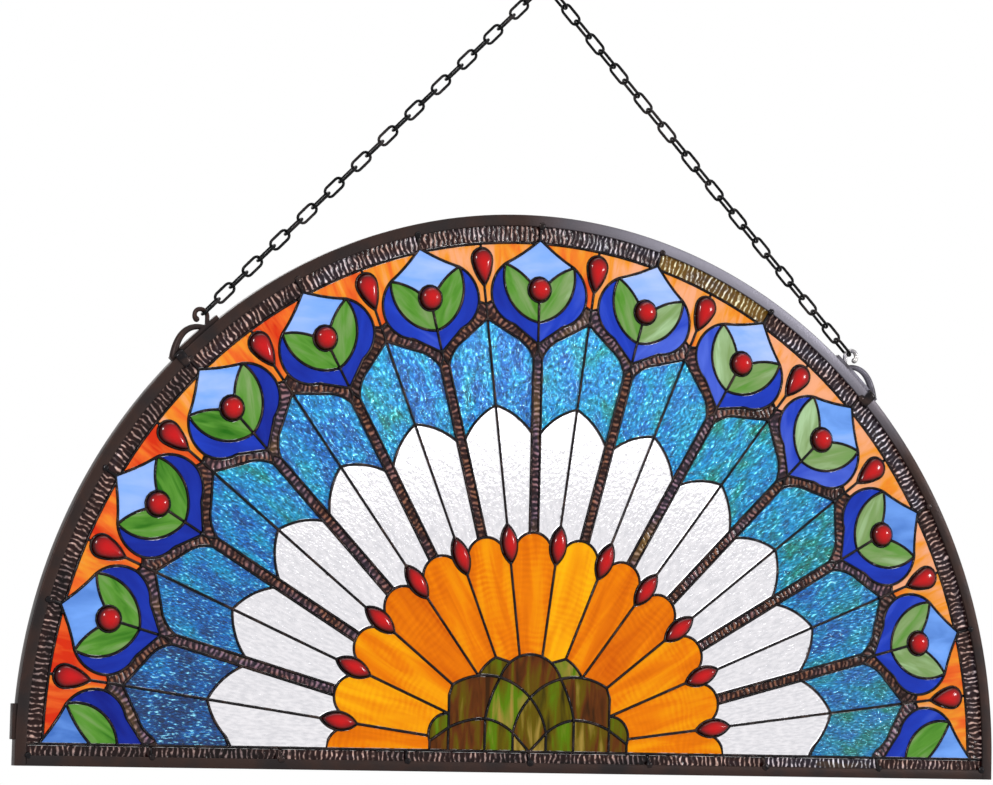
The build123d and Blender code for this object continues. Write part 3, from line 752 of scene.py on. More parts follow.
def glass_piece(kind, material, seed):
    """One node's panes as closed slabs with a worked face."""
    chance = np.random.default_rng(seed)
    piece = Piece()
    rings = outlines(kind.node)
    for number, ring in enumerate(rings):
        grain = pane_grain(ring, kind.grain)
        ring = resample(ring, max(kind.along, 1.6 * MM))
        places = np.vstack([ring, fill_places(ring, grain, kind.along, kind.across)])
        u, v = grain.measure(places).T
        own = seed + 7.3 * number
        front, height = kind.relief(u, v, own)
        back = kind.relief(u, v, own + 50)[0]
        own_tones = len(kind.tones) == len(rings)
        tone = kind.tones[number] if own_tones else fan_tone(pane_angle(ring), kind.tones)
        tone += kind.tone_spread * (chance.random() * 2 - 1)
        verts, faces = slab(places, len(ring), GLASS_HALF + front, GLASS_HALF + 0.5 * back)
        grains = np.stack([u, v, np.full(len(u), 3.1 * number)], axis=1)
        piece.add(
            verts,
            faces,
            grain=np.vstack([grains, grains]),
            tone=np.full(2 * len(u), tone),
            height=np.concatenate([height, height]),
        )
    return piece.build(kind.piece, [material], kind.node)


# Smooth streaked glass: its name, its shades, the length and width of its streaks in millimetres, their
# strength, how clear it is, the way of its grain, the step of its mesh, its tones and their spread
SKY_TONES = (0.4, 0.3, 0.85, 0.8, 0.6, 0.7, 0.0)
LEAF_TONES = (0.5, 0.8, 0.5, 0.35, 0.2)
COBALT_TONES = (0.3, 0.62, 0.45, 0.3, 0.1)
SPANDREL_TONES = (0.40, 0.90, 0.65, 0.40, 0.15)
GREEN_TONES = (0.4, 0.3, 0.27, 0.75, 0.32, 0.62, 0.5, 0.4)
BROWN_TONES = (0.45, 0.55, 0.9, 0.38, 0.5, 0.36, 0.36, 1.0, 0.62, 0.4)
STREAKED_KINDS = (
    ("sky", "deep middle pale", (45, 14), 0.20, 0.0, "level", 4, SKY_TONES, 0.08),
    ("leaf", "deep middle sage pale", (40, 7), 0.22, 0.0, "long", 3, LEAF_TONES, 0.15),
    ("cobalt", "deep middle pale", (50, 12), 0.14, 0.2, "long", 3, COBALT_TONES, 0.16),
    ("spandrel", "red orange yellow pale", (40, 9), 0.30, 0.0, "radial", 3, SPANDREL_TONES, 0.26),
    ("heart_green", "dark olive bright straw", (45, 8), 0.34, 0.0, "upright", 2.5, GREEN_TONES, 0.02),
    ("heart_brown", "umber brown olive straw", (45, 8), 0.40, 0.0, "upright", 2.5, BROWN_TONES, 0.03),
)


class FANPANEL_OT_streaky_glass(bpy.types.Operator):
    """Make the smooth streaked panes: sky, leaves, cobalt, spandrels and heart"""

    bl_idname = "fanpanel.streaky_glass"
    bl_label = "Streaky Glass"

    def execute(self, context):
        for number, (name, shades, streak, strength, clear, grain, step, *tones) in enumerate(STREAKED_KINDS):
            family = name.split("_")[0]
            colours = [getattr(context.scene.fan_colours, f"{family}_{shade}") for shade in shades.split()]
            streak = [size * MM for size in streak]
            step *= MM
            glass = streaky_glass(name + "_art_glass", colours, streak, strength, clear)
            kind = GlassKind(name + "_glass", name + "_panes", grain, step, step, *tones, rolled_relief)
            glass_piece(kind, glass, 11 + number)
        return {"FINISHED"}


class FANPANEL_OT_petals(bpy.types.Operator):
    """Make the amber petals"""

    bl_idname = "fanpanel.petals"
    bl_label = "Petals"

    def execute(self, context):
        c = context.scene.fan_colours
        amber = petal_finish("petal_art_glass", (c.petal_deep, c.petal_middle, c.petal_pale))
        tones = (0.5, 0.62, 0.55, 0.4, 0.42, 0.85, 0.48, 0.52, 0.42, 0.38, 0.6, 0.7, 0.5)
        steps = (1.3 * MM, 2.4 * MM)
        kind = GlassKind("petal_glass", "petal_panes", "radial", *steps, tones, 0.03, petal_relief)
        glass_piece(kind, amber, 31)
        return {"FINISHED"}


class FANPANEL_OT_ripple_glass(bpy.types.Operator):
    """Make the dark rippled strips: border, sill, collars and ribs"""

    bl_idname = "fanpanel.ripple_glass"
    bl_label = "Ripple Glass"

    def execute(self, context):
        c = context.scene.fan_colours
        bodies = (c.ripple_black, c.ripple_brown, c.ripple_purple, c.ripple_amber)
        # The bodies are the strips' own colours; the crest and strip tints are painted highlights on their
        # ridges.
        highlight_tints = (c.crest_glint_grey, c.crest_glint_tan, c.crest_glint_lilac, c.crest_glint_gold)
        ripples = ripple_finish("border_art_glass", bodies, highlight_tints, 0.60, 0.84, 0.45)
        highlight_tints = (c.strip_glint_grey, c.strip_glint_copper, c.strip_glint_plum, c.strip_glint_olive)
        strips = ripple_finish("strip_art_glass", bodies, highlight_tints, 0.38, 0.95, 0.6)
        border = (0.33, 0.36, 0.5, 0.42, 1.0, 0.6, 0.45, 0.38, 0.3, 0.28, 0.2, 0.1)
        sill = (0.12, 0.14, 0.18, 0.15, 0.12, 0.22, 0.5, 0.35)
        rows = (
            ("border", ripples, "ring", border, 0.04),
            ("sill", ripples, "level", sill, 0.04),
            ("collar", strips, "long", (0.4, 0.45, 0.3), 0.3),
            ("rib", strips, "radial", (0.5, 0.5, 0.35), 0.25),
        )
        for number, (name, glass, grain, *tones) in enumerate(rows):
            steps = (0.8 * MM, 1.9 * MM)
            kind = GlassKind(name + "_glass", name + "_strips", grain, *steps, *tones, ridged_relief)
            glass_piece(kind, glass, 41 + number)
        return {"FINISHED"}


class FANPANEL_OT_wave_glass(bpy.types.Operator):
    """Make the pitted panes: blue waves and clear glass"""

    bl_idname = "fanpanel.wave_glass"
    bl_label = "Wave Glass"

    def execute(self, context):
        c = context.scene.fan_colours
        blues = (c.wave_deep, c.wave_blue, c.wave_turquoise, c.wave_green)
        wave = wave_finish("wave_art_glass", blues, c.wave_glint)
        clear = clear_finish("clear_art_glass", c.clear_shade, c.clear_light)
        waves, dashes = pitted_relief("pit_rise"), pitted_relief("clear_rise")
        tones = (0.6, 0.7, 0.45, 0.5, 0.15)
        kind = GlassKind("wave_glass", "wave_panes", "radial", 1.6 * MM, 1.1 * MM, tones, 0.16, waves)
        glass_piece(kind, wave, 51)
        tones = (0.5, 0.5, 0.5)
        kind = GlassKind("clear_glass", "clear_panes", "radial", 2.0 * MM, 1.3 * MM, tones, 0.1, dashes)
        glass_piece(kind, clear, 52)
        return {"FINISHED"}


class FANPANEL_OT_gems(bpy.types.Operator):
    """Make the polished red gems: rounds, teardrops and navettes"""

    bl_idname = "fanpanel.gems"
    bl_label = "Gems"

    def execute(self, context):
        colours = context.scene.fan_colours
        ruby = gem_finish("gem_glass", colours.gem_shaded_rim, colours.gem_lit_heart)
        for name, rise in (("round", 4.4 * MM), ("teardrop", 3.4 * MM), ("navette", 3.2 * MM)):
            node = name + "_gems"
            piece = Piece()
            for ring in outlines(node, back=True):
                piece.add(**cabochon(resample(ring, GEM_STEP), rise))
            piece.build(name + "_cabochons", [ruby], node, crease=radians(60))
        return {"FINISHED"}


def cabochon(ring, rise, girdle=1.2 * MM, steps=9):
    """A polished gem of an outline: flat behind, with a domed front that laps over the solder."""
    middle = ring.mean(axis=0)
    wide = ring + outward(ring) * GEM_OVERLAP
    rows, depths, heights = [ring], [-GLASS_HALF], [0.0]
    for turn in np.arange(steps) * (pi / 2) / steps:
        rows.append(middle + (wide - middle) * cos(turn))
        depths.append(GLASS_HALF + girdle + rise * sin(turn))
        heights.append(sin(turn))
    verts = [front_points(row, np.full(len(row), -depth)) for row, depth in zip(rows, depths)]
    count = len(ring)
    faces = [list(reversed(range(count)))]
    for start in range(0, steps * count, count):
        for i in range(count):
            j = (i + 1) % count
            faces.append([start + i, start + j, start + count + j, start + count + i])
    verts.append([(middle[0], -(GLASS_HALF + girdle + rise), middle[1] + FAN_HEIGHT)])
    last = steps * count
    faces += [[last + i, last + (i + 1) % count, last + count] for i in range(count)]
    return {"verts": np.vstack(verts), "faces": faces, "height": np.append(np.repeat(heights, count), 1.0)}


# Solder
def seam_rows(rings, outer, steps):
    """Points over the seams, in rows at set distances from the edges of the glass."""
    edge = np.vstack([*rings, outer])
    tree = KDTree(len(edge))
    for number, point in enumerate(edge):
        tree.insert((*point, 0.0), number)
    tree.balance()
    normals = np.vstack([*(outward(ring) for ring in rings), -outward(outer)])
    taken, found, reach = set(), [], []
    for step, room in steps:
        for point in edge + step * normals:
            cell = (round(point[0] / room), round(point[1] / room), step)
            gap = tree.find((*point, 0.0))[2]
            if gap < 0.8 * step or cell in taken:
                continue
            taken.add(cell)
            found.append(point)
            reach.append(gap)
    return np.array(found), np.array(reach)


def seam_sheet(rings, outer, steps, half_width):
    """Places, depths and triangles of the beads on one face of the panel."""
    loops = [*rings, outer]
    rows, reach = seam_rows(rings, outer, steps)
    within = inside(rows, outer)
    rows, reach = rows[within], reach[within]
    places = np.vstack([*loops, rows])
    owner = np.concatenate([np.full(len(loop), number) for number, loop in enumerate(loops)])
    owner = np.append(owner, np.full(len(rows), -1))
    edges, first = [], 0
    for loop in loops:
        edges += [(first + i, first + (i + 1) % len(loop)) for i in range(len(loop))]
        first += len(loop)
    made = delaunay_2d_cdt([Vector(p) / MM for p in places], edges, [], 2, 1e-7, True)
    source = [origins[0] for origins in made[3]]
    faces = []
    for face in made[2]:
        face = [source[i] for i in face]
        own = owner[face[0]]
        if own >= 0 and all(owner[i] == own for i in face):
            middle = places[face].mean(axis=0)[None]
            if (own < len(rings)) == bool(inside(middle, loops[own])[0]):
                continue
        faces.append(face)
    solder = sizes("fan_solder")
    fall = 1 - np.clip(reach / half_width, 0, 1)
    lumps = 1 + 0.16 * ripple(rows[:, 0] / (7 * MM), rows[:, 1] / (7 * MM), 2.0)
    swell = 1 + 0.3 * np.clip(reach / half_width - 1, 0, 1)
    depth = GLASS_HALF + solder.rise * np.sqrt(1 - fall**2) * lumps * swell
    in_slot = (np.hypot(*rows.T) > FACE_RADIUS - 1 * MM) | (rows[:, 1] < FOOT + SILL_FACE)
    depth = np.where(in_slot, np.minimum(depth, SEAM_HALF), depth)
    depth = np.append(np.full(len(places) - len(rows), GLASS_HALF - solder.foot), depth)
    return places, depth, faces


class FANPANEL_OT_seams(bpy.types.Operator):
    """Make the rounded beads of solder over every seam, front and back"""

    bl_idname = "fanpanel.seams"
    bl_label = "Solder Seams"

    def execute(self, context):
        solder = context.scene.fan_solder
        loops = sorted(outlines("seam_lattice"), key=area)
        outer = resample(loops[-1], solder.step)
        rings = []
        for loop in loops[:-1]:
            ring = resample(loop, solder.step)
            waver = solder.waver * ripple(ring[:, 0] / (4 * MM), ring[:, 1] / (4 * MM), 1.0)
            rings.append(ring - outward(ring) * (solder.overlap + waver)[:, None])
        half_width = 1 * MM + solder.overlap
        # Each row of points: its distance from the glass and the room that a point takes
        front_rows = ((0.4 * MM, 0.6 * MM), (half_width, 1.2 * MM), (1.7 * MM, 1.2 * MM))
        front = seam_sheet(rings, outer, front_rows, half_width)
        back = seam_sheet(rings, outer, ((half_width, 1.4 * MM),), half_width)
        count = len(front[0])
        verts = np.vstack([front_points(front[0], -front[1]), front_points(back[0], back[1])])
        faces = front[2] + [[count + i for i in reversed(face)] for face in back[2]]
        first = 0
        for ring in [*rings, outer]:
            for i in range(len(ring)):
                a, b = first + i, first + (i + 1) % len(ring)
                side = [b, count + b, count + a, a]
                faces.append(side[::-1] if ring is outer else side)
            first += len(ring)
        piece = Piece()
        piece.add(verts, faces)
        metal = context.scene.fan_metal
        shades = (metal.solder, metal.solder, metal.patina_warm)
        black = metal_finish("solder_patina", shades, 12 * MM, 0.2, 0.6, 1.5 * MM, gloss=0.35)
        piece.build("solder_seams", [black], "seam_lattice", crease=radians(70))
        return {"FINISHED"}


# Metal
def frames_along(path, closed):
    """Tangents and two steady normals along a path."""
    ahead = np.roll(path, -1, axis=0) - np.roll(path, 1, axis=0)
    if not closed:
        ahead[0], ahead[-1] = path[1] - path[0], path[-1] - path[-2]
    ahead /= np.linalg.norm(ahead, axis=1)[:, None]
    side = Vector(ahead[0]).orthogonal().normalized()
    sides = []
    for tangent in ahead:
        tangent = Vector(tangent)
        side = (side - tangent * side.dot(tangent)).normalized()
        sides.append(np.array(side))
    sides = np.array(sides)
    return ahead, sides, np.cross(ahead, sides)


def tube(path, radii, count, closed=False, flat=1.0, side=None):
    """Round or flat wire along a path, with a radius at each point, closed or with rounded ends."""
    path = np.asarray(path, float)
    radii = np.broadcast_to(np.asarray(radii, float), (len(path),))
    ahead, across, up = frames_along(path, closed)
    if side is not None:
        across = np.broadcast_to(np.asarray(side, float), path.shape)
        up = np.cross(ahead, across)
    turns = np.arange(count) * tau / count
    circle = np.cos(turns)[None, :, None] * across[:, None] * flat
    circle = circle + np.sin(turns)[None, :, None] * up[:, None]
    verts = (path[:, None] + circle * radii[:, None, None]).reshape(-1, 3)
    faces = []
    for row in range(len(path) if closed else len(path) - 1):
        start, following = row * count, ((row + 1) % len(path)) * count
        for i in range(count):
            j = (i + 1) % count
            faces.append([start + i, start + j, following + j, following + i])
    if closed:
        return verts, faces
    for end, way in ((0, -1), (len(path) - 1, 1)):
        cap, previous = [], end * count
        for turn in (pi / 6, pi / 3):
            out = way * ahead[end] * radii[end] * sin(turn)
            cap.append(path[end] + circle[end] * radii[end] * cos(turn) + out)
        tip = path[end] + way * ahead[end] * radii[end]
        first = len(verts)
        verts = np.vstack([verts, *cap, tip[None]])
        for ring_start in (first, first + count):
            for i in range(count):
                j = (i + 1) % count
                quad = [previous + i, previous + j, ring_start + j, ring_start + i]
                faces.append(quad if way > 0 else quad[::-1])
            previous = ring_start
        for i in range(count):
            fan = [previous + i, previous + (i + 1) % count, first + 2 * count]
            faces.append(fan if way > 0 else fan[::-1])
    return verts, faces


def lathe(profile, count):
    """A turned shape round the upright axis, from rows of (radius, height)."""
    turns = np.arange(count) * tau / count
    verts, faces, rows = [], [], []
    for radius, height in profile:
        first = len(verts)
        if radius == 0:
            verts.append((0.0, 0.0, height))
            rows.append([first] * count)
            continue
        verts += [(radius * cos(t), radius * sin(t), height) for t in turns]
        rows.append([first + i for i in range(count)])
    for low, high in zip(rows[:-1], rows[1:]):
        for i in range(count):
            j = (i + 1) % count
            faces.append(list(dict.fromkeys([low[i], low[j], high[j], high[i]])))
    return verts, faces


def sweep(stations, section):
    """Faces between equal sections at successive stations, with end caps."""
    count = len(section)
    verts = np.vstack(stations)
    faces = []
    for row in range(len(stations) - 1):
        for i in range(count):
            j = (i + 1) % count
            faces.append([row * count + i, row * count + j, (row + 1) * count + j, (row + 1) * count + i])
    last = (len(stations) - 1) * count
    faces.append(list(range(count))[::-1])
    faces.append([last + i for i in range(count)])
    return verts, faces


def rail_section(face):
    """Section of a rail, as (distance from its outer side, depth): a channel open towards the glass."""
    section = []

    def corner(out, depth, start):
        for step in range(4):
            angle = radians(start + 30 * step)
            section.append((out + FRAME_SOFT * cos(angle), depth + FRAME_SOFT * sin(angle)))

    half, slot = FRAME_HALF - FRAME_SOFT, SEAM_HALF + 0.3 * MM
    corner(FRAME_SOFT, -half, 180)
    corner(face - FRAME_SOFT, -half, 270)
    section.extend([(face, -slot), (FRAME_WEB, -slot), (FRAME_WEB, slot), (face, slot)])
    corner(face - FRAME_SOFT, half, 0)
    corner(FRAME_SOFT, half, 90)
    return section


class FANPANEL_OT_frame(bpy.types.Operator):
    """Make the bent channel, the sill channel, the tab and the drops of solder on them"""

    bl_idname = "fanpanel.frame"
    bl_label = "Frame"

    def execute(self, context):
        metal = context.scene.fan_metal
        look = ((metal.patina, metal.patina_warm, metal.patina), 45 * MM, 0.38, 0.5, 1.2 * MM)
        patina = metal_finish("frame_patina", *look)
        sheened = metal_finish("arch_patina_and_sheen", *look, bare=metal.bare)
        section = rail_section(OUTER_RADIUS - FACE_RADIUS)
        rows = [(FOOT, pi), (FOOT / 2, pi)]
        rows += [(None, pi - pi * i / ARCH_STEPS) for i in range(ARCH_STEPS + 1)]
        rows += [(FOOT / 2, 0.0), (FOOT, 0.0)]
        stations, bare = [], []
        for height, turn in rows:
            # Painted reflection on the right shoulder: full on the front face, weaker on the sides.
            sheen_share = 1.6 * (1 - abs(degrees(turn) - SHOULDER) / SHOULDER_HALF)
            sheen_share = min(1.0, max(0.0, sheen_share))
            bare += [sheen_share * (SIDE_SHEEN if depth > -FRAME_HALF * 0.9 else 1.0) for _, depth in section]
            station = []
            for out, depth in section:
                radius = OUTER_RADIUS - out
                up = radius * sin(turn) if height is None else height
                station.append((radius * cos(turn), depth, up + FAN_HEIGHT))
            stations.append(np.array(station))
        arch = Piece()
        arch.add(*sweep(stations, section), bare=bare)
        arch.build("arch_channel", [sheened], "frame_arch", crease=radians(50))

        section = rail_section(SILL_FACE)
        stations = [
            np.array([(x, depth, SILL_LOW.z + out) for out, depth in section])
            for x in np.linspace(SILL_LOW.x, SILL_HIGH.x, SILL_STEPS + 1)
        ]
        sill = Piece()
        sill.add(*sweep(stations, section))
        sill.build("sill_channel", [patina], "frame_sill", crease=radians(50))

        drops = Piece()
        solder = context.scene.fan_solder
        rim, sill_top = FACE_RADIUS + 0.5 * MM, FOOT + SILL_FACE
        gaps = [radians(GAP_STEP * number) for number in range(1, 12)]
        spots = [(rim * cos(turn), rim * sin(turn)) for turn in gaps]
        spots += [((FACE_RADIUS + 5.7 * MM) / 4 * number, sill_top) for number in range(-3, 4)]
        spots += [(side * (FACE_RADIUS - 1 * MM), sill_top) for side in (-1, 1)]
        for number, spot in enumerate(spots):
            for side in (-1, 1):
                drops.add(*solder_drop(spot, side, solder.blob_width, solder.blob_rise, number + 20 * side))
        drops.build("solder_drops", [bpy.data.materials["solder_patina"]], None, crease=radians(80))

        tab = Piece()
        tab.add(*soft_box(*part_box("side_tab"), 0.5 * MM))
        tab.build("side_tab_strip", [patina], "side_tab")
        return {"FINISHED"}


def solder_drop(spot, side, width, rise, seed):
    """An uneven drop of solder that lies over the edge of the frame."""
    ball = bmesh.new()
    bmesh.ops.create_icosphere(ball, subdivisions=3, radius=1.0)
    half = (0.75 + 0.4 * abs(noise.noise((seed * 1.7, 0.3, 0.9)))) * width / 2
    verts = []
    for vert in ball.verts:
        x, y, z = vert.co * (1 + 0.22 * noise.noise(vert.co * 1.6 + Vector((seed, 0, 0))))
        verts.append((spot[0] + x * half, side * FRAME_HALF + y * rise, spot[1] + FAN_HEIGHT + z * half))
    faces = [[vert.index for vert in face.verts] for face in ball.faces]
    ball.free()
    return verts, faces


def soft_box(low, high, soft):
    """A box with softened edges."""
    block = bmesh.new()
    bmesh.ops.create_cube(block, size=1.0)
    for vert in block.verts:
        vert.co = [(a + b) / 2 + c * (b - a) for a, b, c in zip(low, high, vert.co)]
    bmesh.ops.bevel(block, geom=block.edges[:], offset=soft, segments=3, affect="EDGES", profile=0.5)
    verts = [vert.co[:] for vert in block.verts]
    faces = [[vert.index for vert in face.verts] for face in block.faces]
    block.free()
    return verts, faces


class FANPANEL_OT_chains(bpy.types.Operator):
    """Make the links of both chains and the ring"""

    bl_idname = "fanpanel.chains"
    bl_label = "Chains"

    def execute(self, context):
        wire = context.scene.fan_chain
        metal = context.scene.fan_metal
        shades = (metal.chain, metal.chain, metal.patina)
        black = metal_finish("chain_black", shades, 20 * MM, 0.35, 0.3, 2 * MM)
        for side in ("left", "right"):
            node = "chain_" + side
            piece = Piece()
            for points in islands(node):
                piece.add(*chain_link(points, wire))
            piece.build(side + "_chain_links", [black], node, crease=radians(80))

        low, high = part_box("hanging_ring")
        middle = (low + high) / 2
        thick = wire.link_wire * RING_WIRE
        radius = (high.x - low.x) / 2 - thick
        turns = np.arange(48) * tau / 48
        path = [(middle.x + radius * cos(t), middle.y, middle.z + radius * sin(t)) for t in turns]
        ring = Piece()
        ring.add(*tube(path, thick, 14, closed=True))
        ring.build("round_ring", [black], "hanging_ring", crease=radians(80))
        return {"FINISHED"}


def chain_link(points, wire):
    """One oval link of round wire, laid along the link of the frame."""
    middle = points.mean(axis=0)
    axes = np.linalg.svd(points - middle, full_matrices=False)[2]
    long_reach, wide_reach = [np.ptp((points - middle) @ axis) / 2 for axis in axes[:2]]
    radius = wire.link_wire / 2
    bend = wide_reach - radius
    straight = long_reach - radius - bend
    path, radii = [], []
    for side, start in ((1, -pi / 2), (-1, pi / 2)):
        for turn in start + np.linspace(0, pi, 9):
            path.append(middle + axes[0] * (side * straight + bend * cos(turn)) + axes[1] * bend * sin(turn))
            radii.append(radius)
        for along in (0.5, 0.12, 0.0, -0.12, -0.5):
            path.append(middle + axes[0] * side * straight * along + axes[1] * side * bend)
            radii.append(radius * (1 + wire.weld_swell if side > 0 and along == 0.0 else 1.0))
    return tube(path, radii, wire.sides, closed=True)


class FANPANEL_OT_ceiling_hook(bpy.types.Operator):
    """Make the ceiling hook and its rosette"""

    bl_idname = "fanpanel.ceiling_hook"
    bl_label = "Ceiling Hook"

    def execute(self, context):
        low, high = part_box("ceiling_hook")
        rim = high.x / MM
        # Rows of the rosette: its radius and the depth below its seat, in millimetres
        rosette = [(0, 0), (rim - 0.5, 0), (rim, 0.5), (rim, 1.4), (rim - 1.2, 2.2), (rim - 4, 2.8)]
        rosette += [(rim - 8, 3.6), (4.6, 4), (4.2, 5.6), (3.2, 6.4), (0, 6.4)]
        hook = Piece()
        hook.add(*lathe([(radius * MM, high.z - drop * MM) for radius, drop in rosette], 64))
        bowl, wire = 9 * MM, 2 * MM
        centre = low.z + wire + bowl
        line = [(0, 0, high.z - 4 * MM), (0, 0, -14 * MM), (0, bowl, -23 * MM), (0, bowl, centre)]
        path = smooth_bends([np.array(p, float) for p in line], 5 * MM)
        turns = np.linspace(0, -pi, 25)
        path += [np.array((0, bowl * cos(t), centre + bowl * sin(t))) for t in turns[1:]]
        path.append(np.array((0, -bowl, centre + 4.5 * MM)))
        hook.add(*tube(path, wire, 16))
        black = bpy.data.materials["chain_black"]
        hook.build("ceiling_rosette_hook", [black], "ceiling_hook", crease=radians(50))
        return {"FINISHED"}


def smooth_bends(points, radius):
    """Points of a line whose corners are rounded."""
    path = [points[0]]
    for before, corner, after in zip(points[:-2], points[1:-1], points[2:]):
        back, ahead = before - corner, after - corner
        reach = min(radius, np.linalg.norm(back) / 2, np.linalg.norm(ahead) / 2)
        start = corner + back / np.linalg.norm(back) * reach
        end = corner + ahead / np.linalg.norm(ahead) * reach
        for t in np.linspace(0, 1, 8):
            path.append((1 - t) ** 2 * start + 2 * t * (1 - t) * corner + t**2 * end)
    path.append(points[-1])
    return path


class FANPANEL_OT_brackets(bpy.types.Operator):
    """Make the two brackets: a plate, a curled hook, a bowed arm and a strap"""

    bl_idname = "fanpanel.brackets"
    bl_label = "Brackets"

    def execute(self, context):
        metal = context.scene.fan_metal
        dark = bpy.data.materials["frame_patina"]
        black = bpy.data.materials["solder_patina"]
        shades = (metal.bracket_grey, metal.patina)
        grey = metal_finish("bracket_grey_metal", shades, 18 * MM, 0.4, 0.6, 1.2 * MM)
        shades = (metal.steel, metal.bracket_grey)
        steel = metal_finish("bare_steel_curl", shades, 6 * MM, 0.3, 1.0, 2 * MM, 0.02 * MM)
        for side, way, materials in (("left", -1, (dark, dark, black)), ("right", 1, (grey, steel, black))):
            piece = Piece()
            for slot, part in enumerate(bracket_parts(way)):
                for verts, faces in part:
                    piece.add(verts, faces, slot)
            piece.build(side + "_bracket_hook", materials, "bracket_" + side, crease=radians(50))
        return {"FINISHED"}


def bracket_parts(way):
    """The bracket on one side of the arch: its plate and arm, its hook, and its strap."""
    seat, plate, half = OUTER_RADIUS + 0.1 * MM, 3 * MM, 2 * MM
    middle = seat + plate / 2

    def on_side(angle, radius, depth=0.0):
        turn = radians(angle)
        return np.array((-way * radius * cos(turn), -depth, radius * sin(turn) + FAN_HEIGHT))

    stations = []
    for angle in np.linspace(BRACKET_ANGLE - 3.4, BRACKET_ANGLE + 3.4, 15):
        corners = ((seat, half), (seat + plate, half), (seat + plate, -half), (seat, -half))
        stations.append(np.array([on_side(angle, radius, depth) for radius, depth in corners]))
    top = on_side(BRACKET_ANGLE + 0.4, OUTER_RADIUS + 9 * MM)
    start, end = on_side(BRACKET_ANGLE - 1.6, middle), on_side(BRACKET_ANGLE + 3.0, middle)
    bow = (top - (start + end) / 2) * 4
    arm = [start + (end - start) * t + bow * t * (1 - t) for t in np.linspace(0, 1, 25)]
    body = [sweep(stations, range(4)), tube(arm, np.linspace(1.9, 3.0, 25) * MM, 12, side=(0, 1, 0))]

    curl = 5.4 * MM
    bowl = on_side(HOOK_ANGLE, OUTER_RADIUS + 9.6 * MM)
    stem = bowl[0] - way * curl
    foot = np.array((stem, 0.0, (middle**2 - stem**2) ** 0.5 + FAN_HEIGHT))
    path = [foot, np.array((stem, 0.0, (foot[2] + bowl[2]) / 2))]
    for turn in np.linspace(0, radians(215), 32):
        tighter = curl * (1 - 0.35 * max(0.0, (degrees(turn) - 120) / 95))
        path.append(bowl + np.array((-way * tighter * cos(turn), 0.0, tighter * sin(turn))))
    radii = np.concatenate([np.full(len(path) - 8, 1.7 * MM), np.linspace(1.7, 2.3, 8) * MM])
    hook = tube(path, radii, 14)

    # Rows of the strap over the arch's front: its radius and its depth before the glass
    line = (
        (OUTER_RADIUS + 2.4 * MM, 0.0),
        (OUTER_RADIUS + 1.6 * MM, FRAME_HALF + 0.9 * MM),
        (FACE_RADIUS + 4 * MM, FRAME_HALF + 0.7 * MM),
        (FACE_RADIUS - 0.6 * MM, FRAME_HALF + 0.5 * MM),
        (FACE_RADIUS - 1.8 * MM, SEAM_HALF - 0.2 * MM),
    )
    path = smooth_bends([on_side(STRAP_ANGLE, radius, depth) for radius, depth in line], 2 * MM)
    tangent = on_side(STRAP_ANGLE + 0.9, OUTER_RADIUS) - on_side(STRAP_ANGLE - 0.1, OUTER_RADIUS)
    tangent /= np.linalg.norm(tangent)
    strap = tube(path, np.linspace(1.0, 0.8, len(path)) * MM, 16, flat=4.0, side=tangent)
    return body, [hook], [strap]


# Stage
def studio_world(daylight):
    """Even light for the object, and white where the camera, gloss or glass looks past it."""
    world = bpy.data.worlds.new("studio")
    world.use_nodes = True
    tree = world.node_tree
    light = tree.nodes["Background"]
    light.inputs["Color"].default_value = WHITE
    light.inputs["Strength"].default_value = daylight
    white = add(tree, "Background", {"Color": WHITE, "Strength": 1.0})
    path = add(tree, "LightPath").outputs
    seen = total(tree, path["Is Camera Ray"], path["Is Glossy Ray"], "MAXIMUM")
    seen = total(tree, seen, path["Is Transmission Ray"], "MAXIMUM")
    mixed = add(tree, "MixShader", {0: seen, 1: light.outputs[0], 2: white.outputs[0]})
    tree.links.new(mixed.outputs[0], tree.nodes["World Output"].inputs["Surface"])
    bpy.context.scene.world = world


def area_light(name, target, place, width, height, watts):
    """A soft box that faces a place."""
    lamp = bpy.data.lights.new(name, "AREA")
    lamp.shape = "RECTANGLE"
    lamp.size, lamp.size_y, lamp.energy = width, height, watts
    box = bpy.data.objects.new(name, lamp)
    box.location = place
    box.rotation_euler = (Vector(target) - Vector(place)).to_track_quat("-Z", "Y").to_euler()
    bpy.context.scene.collection.objects.link(box)


# Each lamp: its place, width, height and watts
LAMPS = {
    "key_light": ((-1.5, -2.2, 0.7), 0.35, 0.35, 34.0),
    "right_light": ((3.0, -2.6, FAN_HEIGHT + 0.9), 0.45, 0.45, 44.0),
    "top_light": ((0.4, -0.6, 1.3), 1.6, 0.5, 8.0),
    "back_light": ((0.6, 2.0, 0.3), 1.6, 1.2, 12.0),
}


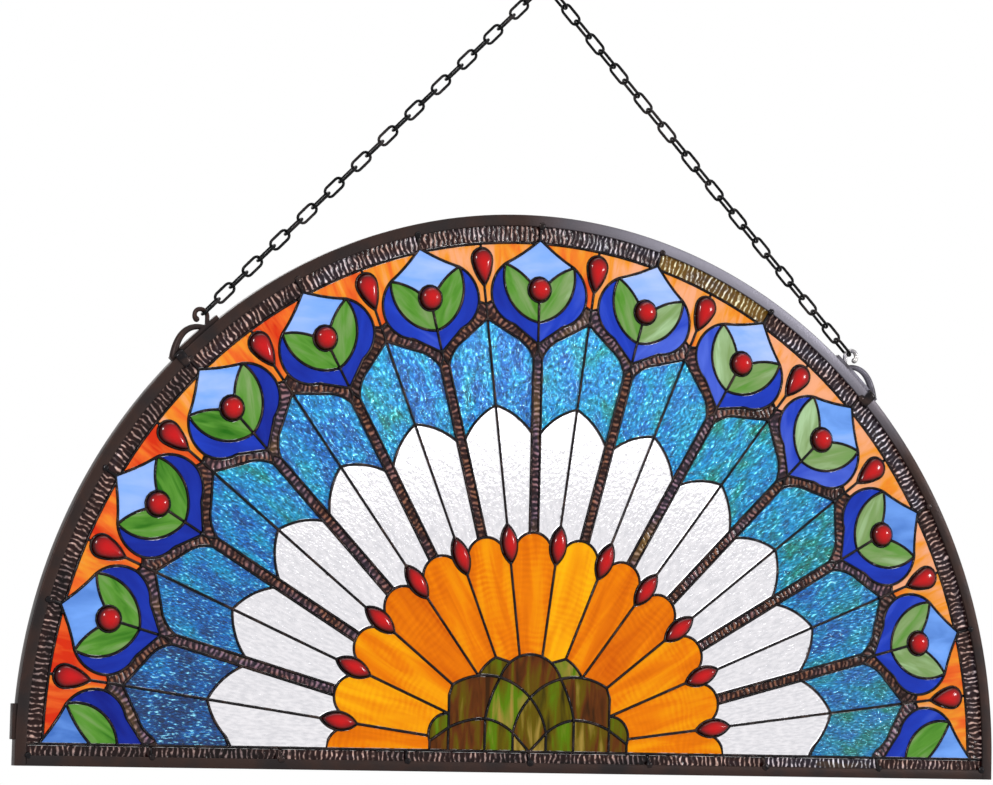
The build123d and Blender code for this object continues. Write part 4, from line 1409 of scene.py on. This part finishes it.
class FANPANEL_OT_stage(bpy.types.Operator):
    """Make the camera, the pale floor and the studio lights"""

    bl_idname = "fanpanel.stage"
    bl_label = "Stage"

    def execute(self, context):
        scene = context.scene
        studio = scene.fan_studio
        scene.view_settings.view_transform = "Standard"
        camera = bpy.data.objects.new("camera", bpy.data.cameras.new("camera"))
        camera.location = Vector(studio.camera_place) + Vector((0, 0, FAN_HEIGHT))
        camera.rotation_euler = Euler(studio.camera_turn)
        camera.data.lens = studio.lens
        camera.data.sensor_width = 36.0
        scene.collection.objects.link(camera)
        scene.camera = camera
        studio_world(studio.daylight)
        for name, lamp in LAMPS.items():
            area_light(name, (0.0, 0.0, FAN_HEIGHT + OUTER_RADIUS / 2), *lamp)
        floor = bpy.data.meshes.new("floor")
        half = studio.floor_size / 2
        low = FAN_HEIGHT + FOOT - studio.floor_drop
        corners = ((-half, -half), (half, -half), (half, half), (-half, half))
        floor.from_pydata([(x, y, low) for x, y in corners], [], [(0, 1, 2, 3)])
        material, tree, surface = new_material("pale_floor", Roughness=0.9, Specular_IOR_Level=0.1)
        surface.inputs["Base Color"].default_value = linear(studio.floor_colour)
        past = add(tree, "LightPath").outputs["Is Transmission Ray"]
        white = add(tree, "Emission", {"Color": WHITE, "Strength": 1.0})
        mixed = add(tree, "MixShader", {0: past, 1: surface.outputs[0], 2: white.outputs[0]})
        tree.links.new(mixed.outputs[0], tree.nodes["Material Output"].inputs["Surface"])
        floor.materials.append(material)
        ground = bpy.data.objects.new("floor", floor)
        scene.collection.objects.link(ground)
        return {"FINISHED"}


class FANPANEL_PT_panel(bpy.types.Panel):
    """Lists the pieces of the fan panel"""

    bl_label = "Fan Panel"
    bl_idname = "FANPANEL_PT_panel"
    bl_space_type = "VIEW_3D"
    bl_region_type = "UI"
    bl_category = "Fan Panel"

    def draw(self, context):
        for operator in STEPS:
            self.layout.operator(operator.bl_idname)


GROUPS = {
    "fan_glass": GlassSizes,
    "fan_colours": GlassColours,
    "fan_solder": SolderSizes,
    "fan_metal": MetalColours,
    "fan_chain": ChainSizes,
    "fan_studio": StudioSettings,
}
STEPS = (
    FANPANEL_OT_stage,
    FANPANEL_OT_streaky_glass,
    FANPANEL_OT_petals,
    FANPANEL_OT_ripple_glass,
    FANPANEL_OT_wave_glass,
    FANPANEL_OT_gems,
    FANPANEL_OT_seams,
    FANPANEL_OT_frame,
    FANPANEL_OT_chains,
    FANPANEL_OT_ceiling_hook,
    FANPANEL_OT_brackets,
)


def register():
    for name, group in GROUPS.items():
        bpy.utils.register_class(group)
        setattr(bpy.types.Scene, name, PointerProperty(type=group))
    for operator in STEPS:
        bpy.utils.register_class(operator)
    bpy.utils.register_class(FANPANEL_PT_panel)


def unregister():
    bpy.utils.unregister_class(FANPANEL_PT_panel)
    for operator in reversed(STEPS):
        bpy.utils.unregister_class(operator)
    for name, group in reversed(GROUPS.items()):
        delattr(bpy.types.Scene, name)
        bpy.utils.unregister_class(group)


def main():
    register()
    for operator in STEPS:
        group, name = operator.bl_idname.split(".")
        getattr(getattr(bpy.ops, group), name)()


if __name__ == "__main__":
    main()
